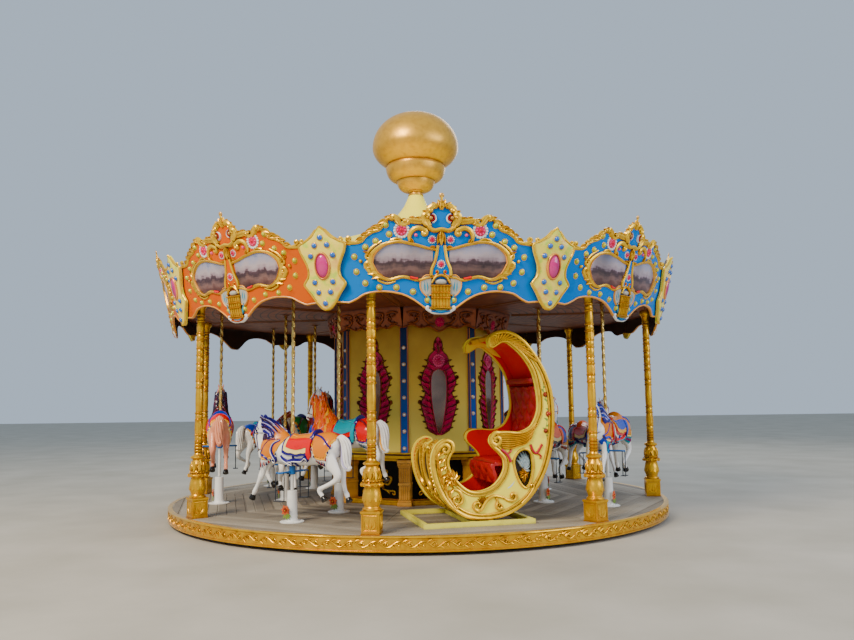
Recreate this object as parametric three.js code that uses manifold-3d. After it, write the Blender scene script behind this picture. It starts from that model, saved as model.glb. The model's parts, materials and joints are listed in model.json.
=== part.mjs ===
// A sixteen-place merry-go-round: a round turning platform with eight gilded columns, a painted
// cornice in nine panels, an onion finial, an eight-sided centre housing, fourteen horses that
// rise and fall on poles, and one crescent-shaped chariot.
// Millimetres, +Z up. The origin is on the ground, on the axis that the platform turns about.
// Angles are in degrees about that axis, measured from the front (-Y) towards the right (+X).
import * as THREE from 'three';
import { mergeVertices } from 'three/addons/utils/BufferGeometryUtils.js';
import Module from 'manifold-3d';

const wasm = await Module();
wasm.setup();

// Gap between pieces that touch.
const SEAT = 0.3;

// Platform.
const DECK_RADIUS = 3500;
const DECK_TOP = 200;
const DECK_THICKNESS = 60;
const FASCIA_THICKNESS = 60;
const FASCIA_BOTTOM = 40;
const SECTOR_INNER_RADIUS = 250;
const STEP = 7.5;
const BAYS = 8;
const BAY = 360 / BAYS;
const COLUMN_PHASE = -8.5;

// Fixed base under the platform.
const PEDESTAL_RADIUS = 450;
const ARM_LENGTH = 3300;
const ARM_WIDTH = 110;
const ARM_TOP = 120;

// Columns.
const COLUMN_RADIUS = 3334;
const PLINTH_WIDTH = 207;
const PLINTH_HEIGHT = 240;
const CEILING_BOTTOM = DECK_TOP + 2620;
const CEILING_THICKNESS = 60;

// Cornice: nine panels that lean outwards, with a shield over each joint.
const PANELS = 9;
const PANEL_ANGLE = 360 / PANELS;
const CORNICE_PHASE = 4.1;
const PANEL_FOOT = DECK_TOP + 2300;
const PANEL_FOOT_RADIUS = 3460;
const PANEL_LEAN = 0.244;
const PANEL_THICKNESS = 30;
const ORANGE_PANELS = [3, 4, 8, 9];
const SHIELD_THICKNESS = 26;
const SHIELD_STANDOFF = 2.4;
const SHIELD_CROWN = 22;

// Roof and finial.
const ROOF_THICKNESS = 20;
const ROOF_SEGMENTS = 24;
const FINIAL_SEGMENTS = 16;

// Centre housing, eight-sided, with its corners in line with the columns.
const HOUSING_CORNER = 1270;
const HOUSING_RECESS = 1130;
const PILASTER_WIDTH = 190;
const RAIL_BOTTOM = DECK_TOP + 600;
const RAIL_TOP = DECK_TOP + 690;
const RAIL_CORNER = 1345;
const VALANCE_BOTTOM = DECK_TOP + 2300;
const VALANCE_CORNER = 1400;
const STRIP_WIDTH = 120;

// Horses and their poles.
const OUTER_ROW = 2840;
const INNER_ROW = 1950;
const POLE_RADIUS = 25;
const ROD_RADIUS = 20;
const ROD_CLEARANCE = 0.6;
const POLE_HOLE_RADIUS = 35;
const POLE_SIDES = 6;
const SLEEVE_HEIGHT = 360;
const CRANK_THROW = 150;
const POLE_TOP = CEILING_BOTTOM + CEILING_THICKNESS + CRANK_THROW + 30;
const POLE_FOOT = DECK_TOP + SLEEVE_HEIGHT + CRANK_THROW + 20;
const ROD_FOOT = DECK_TOP + CRANK_THROW + 10;

// Chariot, in the bay to the right of the front column.
const CHARIOT_BAY = 2;
const CHARIOT_OUTER = 2920;
const CHARIOT_INNER = 1970;
const CHARIOT_SIDE = 60;
const CRESCENT_FOOT = 52;
const SHELL_THICKNESS = 45;
const FRAME_TUBE = 50;
const FRAME_OUTER = 3010;
const FRAME_INNER = 1850;
const FRAME_FRONT = 697;
const FRAME_REAR = -578;
const CHARIOT_LIFT = FRAME_TUBE + 2 * SEAT - CRESCENT_FOOT;

const rad = THREE.MathUtils.degToRad;

const finish = (color, roughness, metalness) =>
  new THREE.MeshStandardMaterial({ color, roughness, metalness });

const steel = finish(0x3a3a3c, 0.6, 0.6);
const planks = finish(0x8c8272, 0.8, 0);
const gold = finish(0xd9a528, 0.3, 0.6);
const blue = finish(0x0a8fd6, 0.35, 0);
const orange = finish(0xee6a0c, 0.35, 0);
const cream = finish(0xefe598, 0.4, 0);
const lining = finish(0x4a2314, 0.6, 0);
const olive = finish(0xc9b93a, 0.5, 0);
const bronze = finish(0x8a6a20, 0.45, 0.3);
const paleYellow = finish(0xede07a, 0.4, 0);
const red = finish(0xc80008, 0.4, 0);
const whitePaint = finish(0xf2f0ea, 0.3, 0);
const tanPaint = finish(0xc98b6a, 0.35, 0);

// Merges equal points, drops triangles that have collapsed, and turns the faces outwards.
function weld(geometry) {
  const bare = new THREE.BufferGeometry();
  bare.setAttribute('position', geometry.getAttribute('position').clone());
  if (geometry.index) bare.setIndex(geometry.index.clone());
  const merged = mergeVertices(bare, 0.01);
  const source = merged.index.array;
  const kept = [];
  for (let i = 0; i < source.length; i += 3) {
    const [a, b, c] = [source[i], source[i + 1], source[i + 2]];
    if (a !== b && b !== c && c !== a) kept.push(a, b, c);
  }
  const at = (i) => new THREE.Vector3().fromBufferAttribute(merged.getAttribute('position'), i);
  let volume = 0;
  for (let i = 0; i < kept.length; i += 3) {
    volume += at(kept[i]).dot(at(kept[i + 1]).cross(at(kept[i + 2])));
  }
  if (volume < 0) kept.reverse();
  merged.setIndex(kept);
  return merged;
}

function toSolid(geometry) {
  const clean = weld(geometry);
  return new wasm.Manifold(new wasm.Mesh({
    numProp: 3,
    vertProperties: new Float32Array(clean.getAttribute('position').array),
    triVerts: new Uint32Array(clean.index.array),
  }));
}

function toGeometry(solid) {
  const { vertProperties, triVerts } = solid.getMesh();
  const geometry = new THREE.BufferGeometry();
  geometry.setAttribute('position', new THREE.BufferAttribute(new Float32Array(vertProperties), 3));
  geometry.setIndex(new THREE.BufferAttribute(new Uint32Array(triVerts), 1));
  return weld(geometry);
}

const join = (geometries) =>
  toGeometry(geometries.map(toSolid).reduce((whole, solid) => whole.add(solid)));

// A turned solid or ring: [radius, height] pairs, revolved about the vertical axis.
function turned(profile, segments, turn = 0) {
  const points = profile.map(([r, z]) => new THREE.Vector2(r, z));
  return new THREE.LatheGeometry(points, segments).rotateX(Math.PI / 2).rotateZ(rad(turn));
}

function ring(profile, segments, turn = 0) {
  return turned([...profile, profile[0]], segments, turn);
}

// A flat outline in plan, raised from bottom to top.
function slab(outline, bottom, top, holes = []) {
  const shape = new THREE.Shape(outline);
  shape.holes = holes.map((hole) => new THREE.Path(hole));
  const geometry = new THREE.ExtrudeGeometry(shape, { depth: top - bottom, bevelEnabled: false });
  return geometry.translate(0, 0, bottom);
}

const box = (width, depth, height, x, y, bottom) =>
  new THREE.BoxGeometry(width, depth, height).translate(x, y, bottom + height / 2);

// A point in plan at a radius and an angle from the front.
const plan = (radius, angle) =>
  new THREE.Vector2(radius * Math.sin(rad(angle)), -radius * Math.cos(rad(angle)));

const polygon = (radius, sides, turn = 0, centre = new THREE.Vector2()) =>
  Array.from({ length: sides }, (_, i) => plan(radius, turn + (360 * i) / sides).add(centre));

// A limb of rounded sections. Each section is [forward, height, half depth, half width] and stands
// square to the limb's run; forward is towards -X.
function limb(sections, sides, sideways = 0) {
  const count = sections.length - 1;
  const geometry = new THREE.CylinderGeometry(1, 1, 1, sides, count);
  const position = geometry.getAttribute('position');
  const centre = (i) => new THREE.Vector3(-sections[i][0], sideways, sections[i][1]);
  const across = new THREE.Vector3(0, 1, 0);
  const vertex = new THREE.Vector3();
  for (let v = 0; v < position.count; v += 1) {
    vertex.fromBufferAttribute(position, v);
    const i = Math.round((0.5 - vertex.y) * count);
    const run = centre(Math.max(i - 1, 0)).sub(centre(Math.min(i + 1, count))).normalize();
    const normal = run.clone().cross(across);
    const point = centre(i)
      .addScaledVector(normal, vertex.x * sections[i][2])
      .addScaledVector(across, vertex.z * sections[i][3]);
    position.setXYZ(v, point.x, point.y, point.z);
  }
  return geometry;
}

// Radius of the cornice panels' outer face, which leans outwards as it rises.
function corniceRadius(height) {
  return PANEL_FOOT_RADIUS + PANEL_LEAN * (height - PANEL_FOOT);
}

const ride = new THREE.Group();

function add(parent, name, geometry, material, turn = 0) {
  const mesh = new THREE.Mesh(weld(geometry), material);
  mesh.name = name;
  mesh.rotation.z = rad(turn);
  parent.add(mesh);
}

// The fixed base: a low pedestal with the bearing that the platform turns on, and eight arms.
function baseFrame() {
  const bearing = DECK_TOP - DECK_THICKNESS - SEAT;
  const pedestal = slab(polygon(PEDESTAL_RADIUS, 24), 0, bearing);
  const arms = [0, 45, 90, 135].map((angle) =>
    box(ARM_WIDTH, 2 * ARM_LENGTH, ARM_TOP, 0, 0, 0).rotateZ(rad(angle)));
  return join([pedestal, ...arms]);
}

// One sector of the deck, modelled about the front. Sectors meet under the columns.
function deckSector() {
  const outer = [];
  for (let a = -BAY / 2; a <= BAY / 2; a += STEP) {
    outer.push(plan(DECK_RADIUS - FASCIA_THICKNESS, a));
  }
  const inner = [plan(SECTOR_INNER_RADIUS, BAY / 2), plan(SECTOR_INNER_RADIUS, -BAY / 2)];
  const trim = (point) => {
    const side = Math.abs(Math.atan2(point.x, -point.y)) > rad(BAY / 2 - 0.01);
    if (!side) return point;
    const away = new THREE.Vector2(-Math.sign(point.x) * Math.cos(rad(BAY / 2)), -Math.sin(rad(BAY / 2)));
    return point.addScaledVector(away, SEAT / 2);
  };
  return slab([...outer, ...inner].map(trim), DECK_TOP - DECK_THICKNESS, DECK_TOP);
}

// A flanged sleeve that guides the rod below a horse.
function sleeve(radius) {
  const bore = ROD_RADIUS + ROD_CLEARANCE;
  const profile = [[bore, -5], [140, -5], [140, 12], [62, 26], [57, SLEEVE_HEIGHT], [bore, SLEEVE_HEIGHT]];
  return ring(profile, POLE_SIDES).translate(0, -radius, DECK_TOP);
}

// The gilded rim round the deck.
function rimFascia() {
  const inner = DECK_RADIUS - FASCIA_THICKNESS + SEAT;
  return ring([
    [inner, FASCIA_BOTTOM], [DECK_RADIUS, FASCIA_BOTTOM], [DECK_RADIUS, DECK_TOP], [inner, DECK_TOP],
  ], 360 / STEP);
}

// A turned column on a square plinth.
function column() {
  const shaft = turned([
    [0, PLINTH_HEIGHT - 2], [96, PLINTH_HEIGHT - 2], [96, 262], [84, 285], [106, 350], [76, 475],
    [126, 505], [122, 530], [98, 560], [100, 630], [72, 690], [96, 722], [56, 770], [50, 980],
    [52, 1500], [47, 2500], [80, 2590],
    [80, CEILING_BOTTOM - DECK_TOP - 2 * SEAT], [0, CEILING_BOTTOM - DECK_TOP - 2 * SEAT],
  ], 8, 22.5);
  const plinth = box(PLINTH_WIDTH, PLINTH_WIDTH, PLINTH_HEIGHT, 0, 0, 0);
  return join([shaft, plinth]).translate(0, -COLUMN_RADIUS, DECK_TOP + SEAT);
}

// Half of a cornice panel: [angle from its middle, bottom, top] above the deck.
const PANEL_HALF = [
  [0, 2270, 3500], [0.7, 2275, 3400], [2.2, 2310, 3340], [2.8, 2332, 3225], [4, 2385, 3215],
  [6.6, 2468, 3205], [8.2, 2492, 3282], [9.8, 2500, 3170], [12, 2495, 3105], [14.5, 2430, 3045],
  [17, 2400, 3028], [19.9, 2425, 3028],
];

// One curved panel, modelled at the front: a box of narrow strips bent round the ride.
function cornicePanel() {
  const mirrored = PANEL_HALF.slice(1).reverse().map(([angle, ...ends]) => [-angle, ...ends]);
  const strips = [...mirrored, ...PANEL_HALF];
  const count = strips.length - 1;
  const geometry = new THREE.BoxGeometry(1, 1, 1, count, 1, 1);
  const position = geometry.getAttribute('position');
  for (let v = 0; v < position.count; v += 1) {
    const [angle, bottom, top] = strips[Math.round((position.getX(v) + 0.5) * count)];
    const height = DECK_TOP + (position.getY(v) > 0 ? top : bottom);
    const depth = position.getZ(v) > 0 ? 0 : PANEL_THICKNESS;
    const point = plan(corniceRadius(height) - depth, angle);
    position.setXYZ(v, point.x, point.y, height);
  }
  return geometry;
}

// A shield's outline: [height above the deck, half its width].
const SHIELD_ROWS = [
  [2335, 30], [2420, 120], [2600, 240], [2680, 182], [2800, 190], [2930, 250], [3010, 262],
  [3090, 100], [3195, 18],
];

// A pointed shield with a waist, crowned towards its middle, modelled at the front.
function corniceShield() {
  const rows = SHIELD_ROWS.length - 1;
  const geometry = new THREE.BoxGeometry(2, 1, 1, 2, rows, 1);
  const position = geometry.getAttribute('position');
  for (let v = 0; v < position.count; v += 1) {
    const [height, half] = SHIELD_ROWS[Math.round((position.getY(v) + 0.5) * rows)];
    const middle = Math.abs(position.getX(v)) < 0.5;
    const face = SHIELD_STANDOFF + SHIELD_THICKNESS + (middle ? SHIELD_CROWN : 0);
    const radius = corniceRadius(height + DECK_TOP) + (position.getZ(v) > 0 ? face : SHIELD_STANDOFF);
    const angle = THREE.MathUtils.radToDeg((position.getX(v) * half) / radius);
    const point = plan(radius, angle);
    position.setXYZ(v, point.x, point.y, height + DECK_TOP);
  }
  return geometry;
}

// The lining over the platform, with a hole for each pole.
function ceiling(poles) {
  const edge = corniceRadius(CEILING_BOTTOM) - PANEL_THICKNESS - SEAT;
  const outline = polygon(edge, 45, CORNICE_PHASE - PANEL_ANGLE / 2);
  const holes = poles.map(({ radius, angle }) =>
    polygon(POLE_HOLE_RADIUS, POLE_SIDES, angle, plan(radius, angle)));
  return slab(outline, CEILING_BOTTOM, CEILING_BOTTOM + CEILING_THICKNESS, holes);
}

// The roof: a shallow cone that sweeps up to a steep neck, with a skirt behind the cornice.
function roof() {
  const foot = CEILING_BOTTOM + CEILING_THICKNESS + SEAT;
  const sweep = [[3480, 3210], [1830, 3700], [900, 3990], [480, 4190], [290, 4380], [180, 4530], [110, 4690]];
  const under = sweep.slice(0, -1).reverse().map(([r, z]) => [r - ROOF_THICKNESS, z - ROOF_THICKNESS]);
  return ring([[3480, foot], ...sweep, [60, 4690], ...under, [3480 - ROOF_THICKNESS, foot]], ROOF_SEGMENTS);
}

// The onion finial: a large oblate ball over two smaller tiers and a neck.
function finial() {
  return turned([
    [0, 4690 + SEAT], [120, 4690 + SEAT], [120, 4745], [270, 4825], [300, 4920], [440, 4990],
    [465, 5070], [465, 5150], [590, 5220], [660, 5400], [645, 5600], [520, 5805], [310, 5935], [0, 5981],
  ], FINIAL_SEGMENTS);
}

// The housing's lower part: a recessed drum with a pilaster at each corner, under a rail.
function housingLower() {
  const recess = slab(polygon(HOUSING_RECESS, BAYS), DECK_TOP + SEAT, RAIL_BOTTOM + 10);
  const kerb = slab(polygon(HOUSING_CORNER, BAYS), DECK_TOP + SEAT, DECK_TOP + 60);
  const rail = slab(polygon(RAIL_CORNER, BAYS), RAIL_BOTTOM, RAIL_TOP);
  const pilasters = Array.from({ length: BAYS }, (_, i) =>
    box(PILASTER_WIDTH, 260, RAIL_BOTTOM - DECK_TOP, 0, -(HOUSING_CORNER - 90), DECK_TOP + SEAT)
      .rotateZ(rad(i * BAY)));
  return join([recess, kerb, rail, ...pilasters]);
}

// The housing's upper part: eight panels, lamp strips on the corners, and a flared valance.
function housingUpper() {
  const bottom = RAIL_TOP + SEAT;
  const top = CEILING_BOTTOM - SEAT;
  const drum = slab(polygon(HOUSING_CORNER - 30, BAYS), bottom, top);
  const strips = Array.from({ length: BAYS }, (_, i) =>
    box(STRIP_WIDTH, 60, VALANCE_BOTTOM + 5 - bottom, 0, -(HOUSING_CORNER - 30), bottom)
      .rotateZ(rad(i * BAY)));
  const valance = turned([[0, VALANCE_BOTTOM], [HOUSING_CORNER + 60, VALANCE_BOTTOM],
    [VALANCE_CORNER, top], [0, top]], BAYS);
  return join([drum, ...strips, valance]);
}

// A horse in mid stride, facing -X, on its pole. Heights are above the deck at mid stroke.
const BODY = [
  [-620, 945, 45, 45], [-550, 925, 150, 125], [-350, 895, 168, 150], [-50, 875, 158, 140],
  [290, 908, 168, 132], [425, 945, 58, 50],
];
const ARCHED_NECK = [[190, 930, 160, 95], [365, 1130, 116, 72], [470, 1215, 42, 46]];
const ARCHED_HEAD = [[425, 1228, 48, 48], [484, 1150, 86, 60], [466, 790, 36, 34]];
const RAISED_NECK = [[190, 930, 165, 95], [330, 1200, 115, 72], [320, 1440, 38, 42]];
const RAISED_HEAD = [[285, 1410, 50, 48], [365, 1335, 88, 60], [485, 1075, 40, 34]];
const FRONT_REACHING = [[290, 880, 85, 62], [385, 600, 38, 34], [480, 440, 28, 28], [540, 335, 40, 36]];
const FRONT_BENT = [[320, 880, 80, 60], [470, 650, 42, 36], [425, 540, 29, 29], [345, 470, 37, 34]];
const HIND_TUCKED = [[-460, 910, 115, 68], [-640, 612, 48, 38], [-405, 460, 34, 33], [-490, 342, 38, 35]];
const HIND_DRIVING = [[-460, 910, 112, 66], [-585, 635, 46, 36], [-610, 480, 31, 31], [-665, 345, 39, 36]];
const TAIL = [[-590, 1010, 42, 40], [-680, 935, 56, 46], [-688, 700, 36, 32]];
const LEG_OFFSET = 85;

// The outer row's horses are longer behind the pole than the inner row's.
const OUTER_STRETCH = 1.12;

function horse(raised, stretch) {
  const reach = (sections) =>
    sections.map(([forward, ...rest]) => [forward < 0 ? forward * stretch : forward, ...rest]);
  const flesh = [
    limb(reach(BODY), 8),
    limb(raised ? RAISED_NECK : ARCHED_NECK, 5),
    limb(raised ? RAISED_HEAD : ARCHED_HEAD, 5),
    limb(FRONT_REACHING, 4, -LEG_OFFSET),
    limb(FRONT_BENT, 4, LEG_OFFSET),
    limb(reach(HIND_TUCKED), 4, -LEG_OFFSET),
    limb(reach(HIND_DRIVING), 4, LEG_OFFSET),
    limb(reach(TAIL), 4),
  ].map((piece) => piece.translate(0, 0, DECK_TOP));
  const pole = slab(polygon(POLE_RADIUS, POLE_SIDES), POLE_FOOT, POLE_TOP);
  const rod = slab(polygon(ROD_RADIUS, POLE_SIDES), ROD_FOOT, POLE_FOOT + 1);
  return join([...flesh, pole, rod]);
}

// The chariot is drawn from its side: u is forward and v is up from the deck.
// It is modelled at the front, so forward is -X, and outwards is -Y.
const CRESCENT_OUTER = [
  [390, 950], [470, 925], [560, 790], [600, 600], [560, 410], [480, 270], [310, 115], [180, CRESCENT_FOOT],
  [-130, CRESCENT_FOOT], [-340, 130], [-530, 280], [-720, 500], [-830, 780], [-880, 1160], [-860, 1410],
  [-780, 1620], [-650, 1860], [-480, 2060], [-280, 2160], [-80, 2040],
];
const CRESCENT_INNER = [
  [-80, 1960], [-200, 1960], [-320, 2010], [-430, 1910], [-590, 1720], [-680, 1520], [-700, 1390],
  [-640, 1190], [-520, 1050], [-360, 990], [-170, 1020], [-80, 930], [-190, 810], [-260, 690],
  [-240, 580], [-140, 430], [10, 370], [160, 380], [300, 480], [360, 600], [360, 740],
];
const OVAL = [[-490, 830], [-400, 690], [-430, 490], [-520, 400], [-590, 560], [-580, 770]];

// A profile seen from the side, between two distances from the ride's axis.
function sideways(outline, near, far, holes = []) {
  const flat = (points) => points.map(([u, v]) => new THREE.Vector2(-u, v));
  return slab(flat(outline), near, far, holes.map(flat))
    .rotateX(Math.PI / 2)
    .translate(0, 0, DECK_TOP + CHARIOT_LIFT);
}

const crescent = (near) =>
  sideways([...CRESCENT_OUTER, ...CRESCENT_INNER], near, near + CHARIOT_SIDE, [OVAL]);

// The curved shell between the crescents: floor, back and hood in one band.
function chariotShell() {
  const inset = 40;
  const middle = new THREE.Vector2(-140, 1050);
  const shrink = (points, by) => points.map(([u, v]) => {
    const arm = new THREE.Vector2(u, v).sub(middle);
    return arm.setLength(arm.length() - by).add(middle).toArray();
  });
  const path = CRESCENT_OUTER.slice(1, -1);
  const outside = shrink(path, inset);
  const inside = shrink(path, inset + SHELL_THICKNESS).reverse();
  const near = CHARIOT_INNER + CHARIOT_SIDE + SEAT;
  return sideways([...outside, ...inside], near, CHARIOT_OUTER - CHARIOT_SIDE - SEAT);
}

// The upholstered bench with its tufted back.
function chariotSeat() {
  const outline = [
    [-110, 640], [-140, 690], [-560, 690], [-640, 900], [-695, 1180], [-680, 1420], [-630, 1530],
    [-675, 1560], [-745, 1420], [-775, 1330], [-778, 1160], [-735, 820], [-640, 570], [-520, 425],
    [-150, 400],
  ];
  return sideways(outline, CHARIOT_INNER + CHARIOT_SIDE + SEAT, CHARIOT_OUTER - CHARIOT_SIDE - SEAT);
}

// The square-tube frame that the chariot stands on, with two cross members under it.
function chariotFrame() {
  const outline = (margin) => [
    [-FRAME_FRONT + margin, -FRAME_OUTER + margin], [-FRAME_REAR - margin, -FRAME_OUTER + margin],
    [-FRAME_REAR - margin, -FRAME_INNER - margin], [-FRAME_FRONT + margin, -FRAME_INNER - margin],
  ].map(([x, y]) => new THREE.Vector2(x, y));
  const bottom = DECK_TOP + SEAT;
  const rails = slab(outline(0), bottom, bottom + FRAME_TUBE, [outline(FRAME_TUBE)]);
  const depth = FRAME_OUTER - FRAME_INNER - FRAME_TUBE;
  const crosses = [130, -80].map((u) =>
    box(FRAME_TUBE, depth, FRAME_TUBE, -u, -(FRAME_OUTER + FRAME_INNER) / 2, bottom));
  return join([rails, ...crosses]);
}

add(ride, 'base_frame', baseFrame(), steel);

// Where the horses stand: bay by bay, outer and inner row, with each one's height at rest.
const REST_LIFT = { 1: -70, 3: 60, 4: -110, 5: 30, 6: 120, 7: -60, 8: 140 };
const TAN_HORSES = ['horse_inner_5', 'horse_outer_6', 'horse_inner_7', 'horse_outer_8'];
const poles = [];
for (let bay = 1; bay <= BAYS; bay += 1) {
  const angle = COLUMN_PHASE + BAY * (bay - 1.5);
  const geometry = deckSector();
  if (bay === CHARIOT_BAY) {
    add(ride, `deck_sector_${bay}`, geometry, planks, angle);
  } else {
    const pair = [OUTER_ROW, INNER_ROW];
    add(ride, `deck_sector_${bay}`, join([geometry, ...pair.map(sleeve)]), planks, angle);
    const lift = REST_LIFT[bay];
    poles.push({ name: `horse_outer_${bay}`, radius: OUTER_ROW, angle, lift, raised: bay % 2 === 0 });
    poles.push({ name: `horse_inner_${bay}`, radius: INNER_ROW, angle, lift: -lift, raised: bay % 2 === 1 });
  }
}

add(ride, 'rim_fascia', rimFascia(), gold, COLUMN_PHASE);
for (let i = 0; i < BAYS; i += 1) {
  add(ride, `column_${i + 1}`, column(), gold, COLUMN_PHASE + BAY * i);
}
for (let panel = 1; panel <= PANELS; panel += 1) {
  const turn = CORNICE_PHASE + PANEL_ANGLE * (panel - 1);
  const ground = ORANGE_PANELS.includes(panel) ? orange : blue;
  add(ride, `cornice_panel_${panel}`, cornicePanel(), ground, turn);
  add(ride, `cornice_shield_${panel}`, corniceShield(), cream, turn + PANEL_ANGLE / 2);
}
add(ride, 'ceiling', ceiling(poles), lining);
add(ride, 'roof', roof(), cream);
add(ride, 'finial', finial(), gold);
add(ride, 'housing_lower', housingLower(), bronze, COLUMN_PHASE);
add(ride, 'housing_upper', housingUpper(), olive, COLUMN_PHASE);

for (const { name, radius, angle, lift, raised } of poles) {
  const geometry = horse(raised, radius === OUTER_ROW ? OUTER_STRETCH : 1).translate(0, -radius, lift);
  add(ride, name, geometry, TAN_HORSES.includes(name) ? tanPaint : whitePaint, angle);
}

const chariotAngle = COLUMN_PHASE + BAY * (CHARIOT_BAY - 1.5);
add(ride, 'chariot_frame', chariotFrame(), paleYellow, chariotAngle);
add(ride, 'chariot_outer_side', crescent(CHARIOT_OUTER - CHARIOT_SIDE), paleYellow, chariotAngle);
add(ride, 'chariot_inner_side', crescent(CHARIOT_INNER), paleYellow, chariotAngle);
add(ride, 'chariot_shell', chariotShell(), gold, chariotAngle);
add(ride, 'chariot_seat', chariotSeat(), red, chariotAngle);

export default ride;
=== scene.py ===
import json
import math

import bmesh
import bpy
import numpy as np
from mathutils import Matrix, Vector
from mathutils.bvhtree import BVHTree
from mathutils.geometry import tessellate_polygon


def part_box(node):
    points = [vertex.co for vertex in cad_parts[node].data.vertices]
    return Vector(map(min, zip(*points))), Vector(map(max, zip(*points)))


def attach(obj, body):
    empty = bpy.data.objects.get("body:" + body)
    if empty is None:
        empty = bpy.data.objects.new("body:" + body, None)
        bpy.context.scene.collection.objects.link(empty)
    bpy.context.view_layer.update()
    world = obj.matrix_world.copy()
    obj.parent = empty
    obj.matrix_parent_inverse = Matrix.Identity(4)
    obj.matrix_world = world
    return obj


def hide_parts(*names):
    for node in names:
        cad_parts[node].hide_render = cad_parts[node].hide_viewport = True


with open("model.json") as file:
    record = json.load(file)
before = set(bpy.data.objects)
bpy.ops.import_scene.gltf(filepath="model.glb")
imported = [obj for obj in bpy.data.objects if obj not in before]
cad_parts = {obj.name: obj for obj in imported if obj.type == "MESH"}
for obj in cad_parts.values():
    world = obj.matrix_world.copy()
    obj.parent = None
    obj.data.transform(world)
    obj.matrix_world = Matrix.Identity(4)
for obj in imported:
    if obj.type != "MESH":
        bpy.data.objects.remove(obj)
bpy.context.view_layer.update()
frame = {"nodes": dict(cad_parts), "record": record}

# The camera stands where a grown person would, about eleven metres from the ride's axis, with a
# telephone's wide lens tipped up a little. Its turns are in radians.
CAMERA_DISTANCE = 11.367
CAMERA_HEIGHT = 1.5535
CAMERA_YAW = 0.012963
CAMERA_PITCH = 0.10745
CAMERA_ROLL = 0.012182
IMAGE_WIDTH = 854
FOCAL_PIXELS = 758.73

link = bpy.context.scene.collection.objects.link
look = bpy.data.cameras.new("photo_view")
look.sensor_width = 36.0
look.lens = look.sensor_width * FOCAL_PIXELS / IMAGE_WIDTH
camera = bpy.data.objects.new("photo_view", look)
camera.matrix_world = (
    Matrix.Translation((0, -CAMERA_DISTANCE, CAMERA_HEIGHT))
    @ Matrix.Rotation(-CAMERA_YAW, 4, "Z")
    @ Matrix.Rotation(CAMERA_PITCH, 4, "X")
    @ Matrix.Rotation(CAMERA_ROLL, 4, "Y")
    @ Matrix.Rotation(math.radians(90), 4, "X")
)
link(camera)
bpy.context.scene.camera = camera


# The studio: a pale floor of smooth concrete under a soft, slightly blue sky light, with one large
# warm lamp high on the left in front and weaker ones on the right and behind.
def srgb(code):
    """A hex colour in linear light, with full alpha."""
    parts = [int(code[i:i + 2], 16) / 255 for i in (1, 3, 5)]
    return [p / 12.92 if p <= 0.04045 else ((p + 0.055) / 1.055) ** 2.4 for p in parts] + [1.0]


def node(tree, kind, links=None, stops=None, output=0, **settings):
    """Adds a shader node and gives its output. links gives each input a value or an output."""
    made = tree.nodes.new("ShaderNode" + kind)
    for name, value in settings.items():
        setattr(made, name, value)
    if stops:
        marks = made.color_ramp.elements
        marks[0].position, marks[0].color = stops[0][0], srgb(stops[0][1])
        marks[-1].position, marks[-1].color = stops[-1][0], srgb(stops[-1][1])
        for position, code in stops[1:-1]:
            marks.new(position).color = srgb(code)
    for socket, value in (links or {}).items():
        if isinstance(value, bpy.types.NodeSocket):
            tree.links.new(value, made.inputs[socket])
        else:
            made.inputs[socket].default_value = value
    return made.outputs[output]


def place(tree, stretch=None):
    """The object's own coordinates, stretched along each axis if asked."""
    own = node(tree, "TexCoord", output="Object")
    return node(tree, "Mapping", {"Vector": own, "Scale": stretch}) if stretch else own


def noise(tree, scale, detail, where=None, roughness=0.5):
    """Noise over the object, or over other coordinates."""
    where = where or place(tree)
    return node(tree, "TexNoise", {"Vector": where, "Scale": scale, "Detail": detail, "Roughness": roughness})


def remap(tree, value, from_min=0.0, from_max=1.0, to_min=0.0, to_max=1.0):
    """A value moved from one range to another."""
    return node(tree, "MapRange", {"Value": value, "From Min": from_min, "From Max": from_max,
                                   "To Min": to_min, "To Max": to_max})


def tinted(tree, value, *stops):
    """A colour for each value, from (value, colour) stops."""
    return node(tree, "ValToRGB", {"Fac": value}, stops)


def worked(tree, operation, one, other):
    """Two values added, multiplied or divided."""
    return node(tree, "Math", {0: one, 1: other}, operation=operation)


def new_material(name, roughness, metallic=0.0, coat=0.0, shine=0.5):
    """A material and its node tree."""
    material = bpy.data.materials.new(name)
    material.use_nodes = True
    shader = material.node_tree.nodes["Principled BSDF"].inputs
    for socket, value in (("Roughness", roughness), ("Metallic", metallic), ("Coat Weight", coat),
                          ("Coat Roughness", 0.15), ("Specular IOR Level", shine)):
        shader[socket].default_value = value
    return material, material.node_tree


def wired(material, colour, height=None, strength=0.0, depth=0.0, roughness=None):
    """The material with its colour, its bump from a height and its roughness linked."""
    tree = material.node_tree
    shader = tree.nodes["Principled BSDF"].inputs
    tree.links.new(colour, shader["Base Color"])
    if height:
        bump = node(tree, "Bump", {"Height": height, "Strength": strength, "Distance": depth})
        tree.links.new(bump, shader["Normal"])
    if roughness:
        tree.links.new(roughness, shader["Roughness"])
    return material


def float_finished_concrete():
    """Power-floated concrete: pale grey with faint clouding a metre or so across."""
    material, tree = new_material("float_finished_concrete", 0.8)
    return wired(material, tinted(tree, noise(tree, 0.9, 6.0), (0.3, "#A39E90"), (0.7, "#B4AFA2")))


def rect(x0, x1, y0, y1):
    """The corners of a rectangle."""
    return [(x0, y0), (x1, y0), (x1, y1), (x0, y1)]


FLOOR_HALF = 60.0
floor_mesh = bpy.data.meshes.new("studio_floor")
floor_corners = [(x, y, 0) for x, y in rect(-FLOOR_HALF, FLOOR_HALF, -FLOOR_HALF, FLOOR_HALF)]
floor_mesh.from_pydata(floor_corners, [], [(0, 1, 2, 3)])
floor_mesh.materials.append(float_finished_concrete())
studio_floor = bpy.data.objects.new("studio_floor", floor_mesh)
link(studio_floor)

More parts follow.
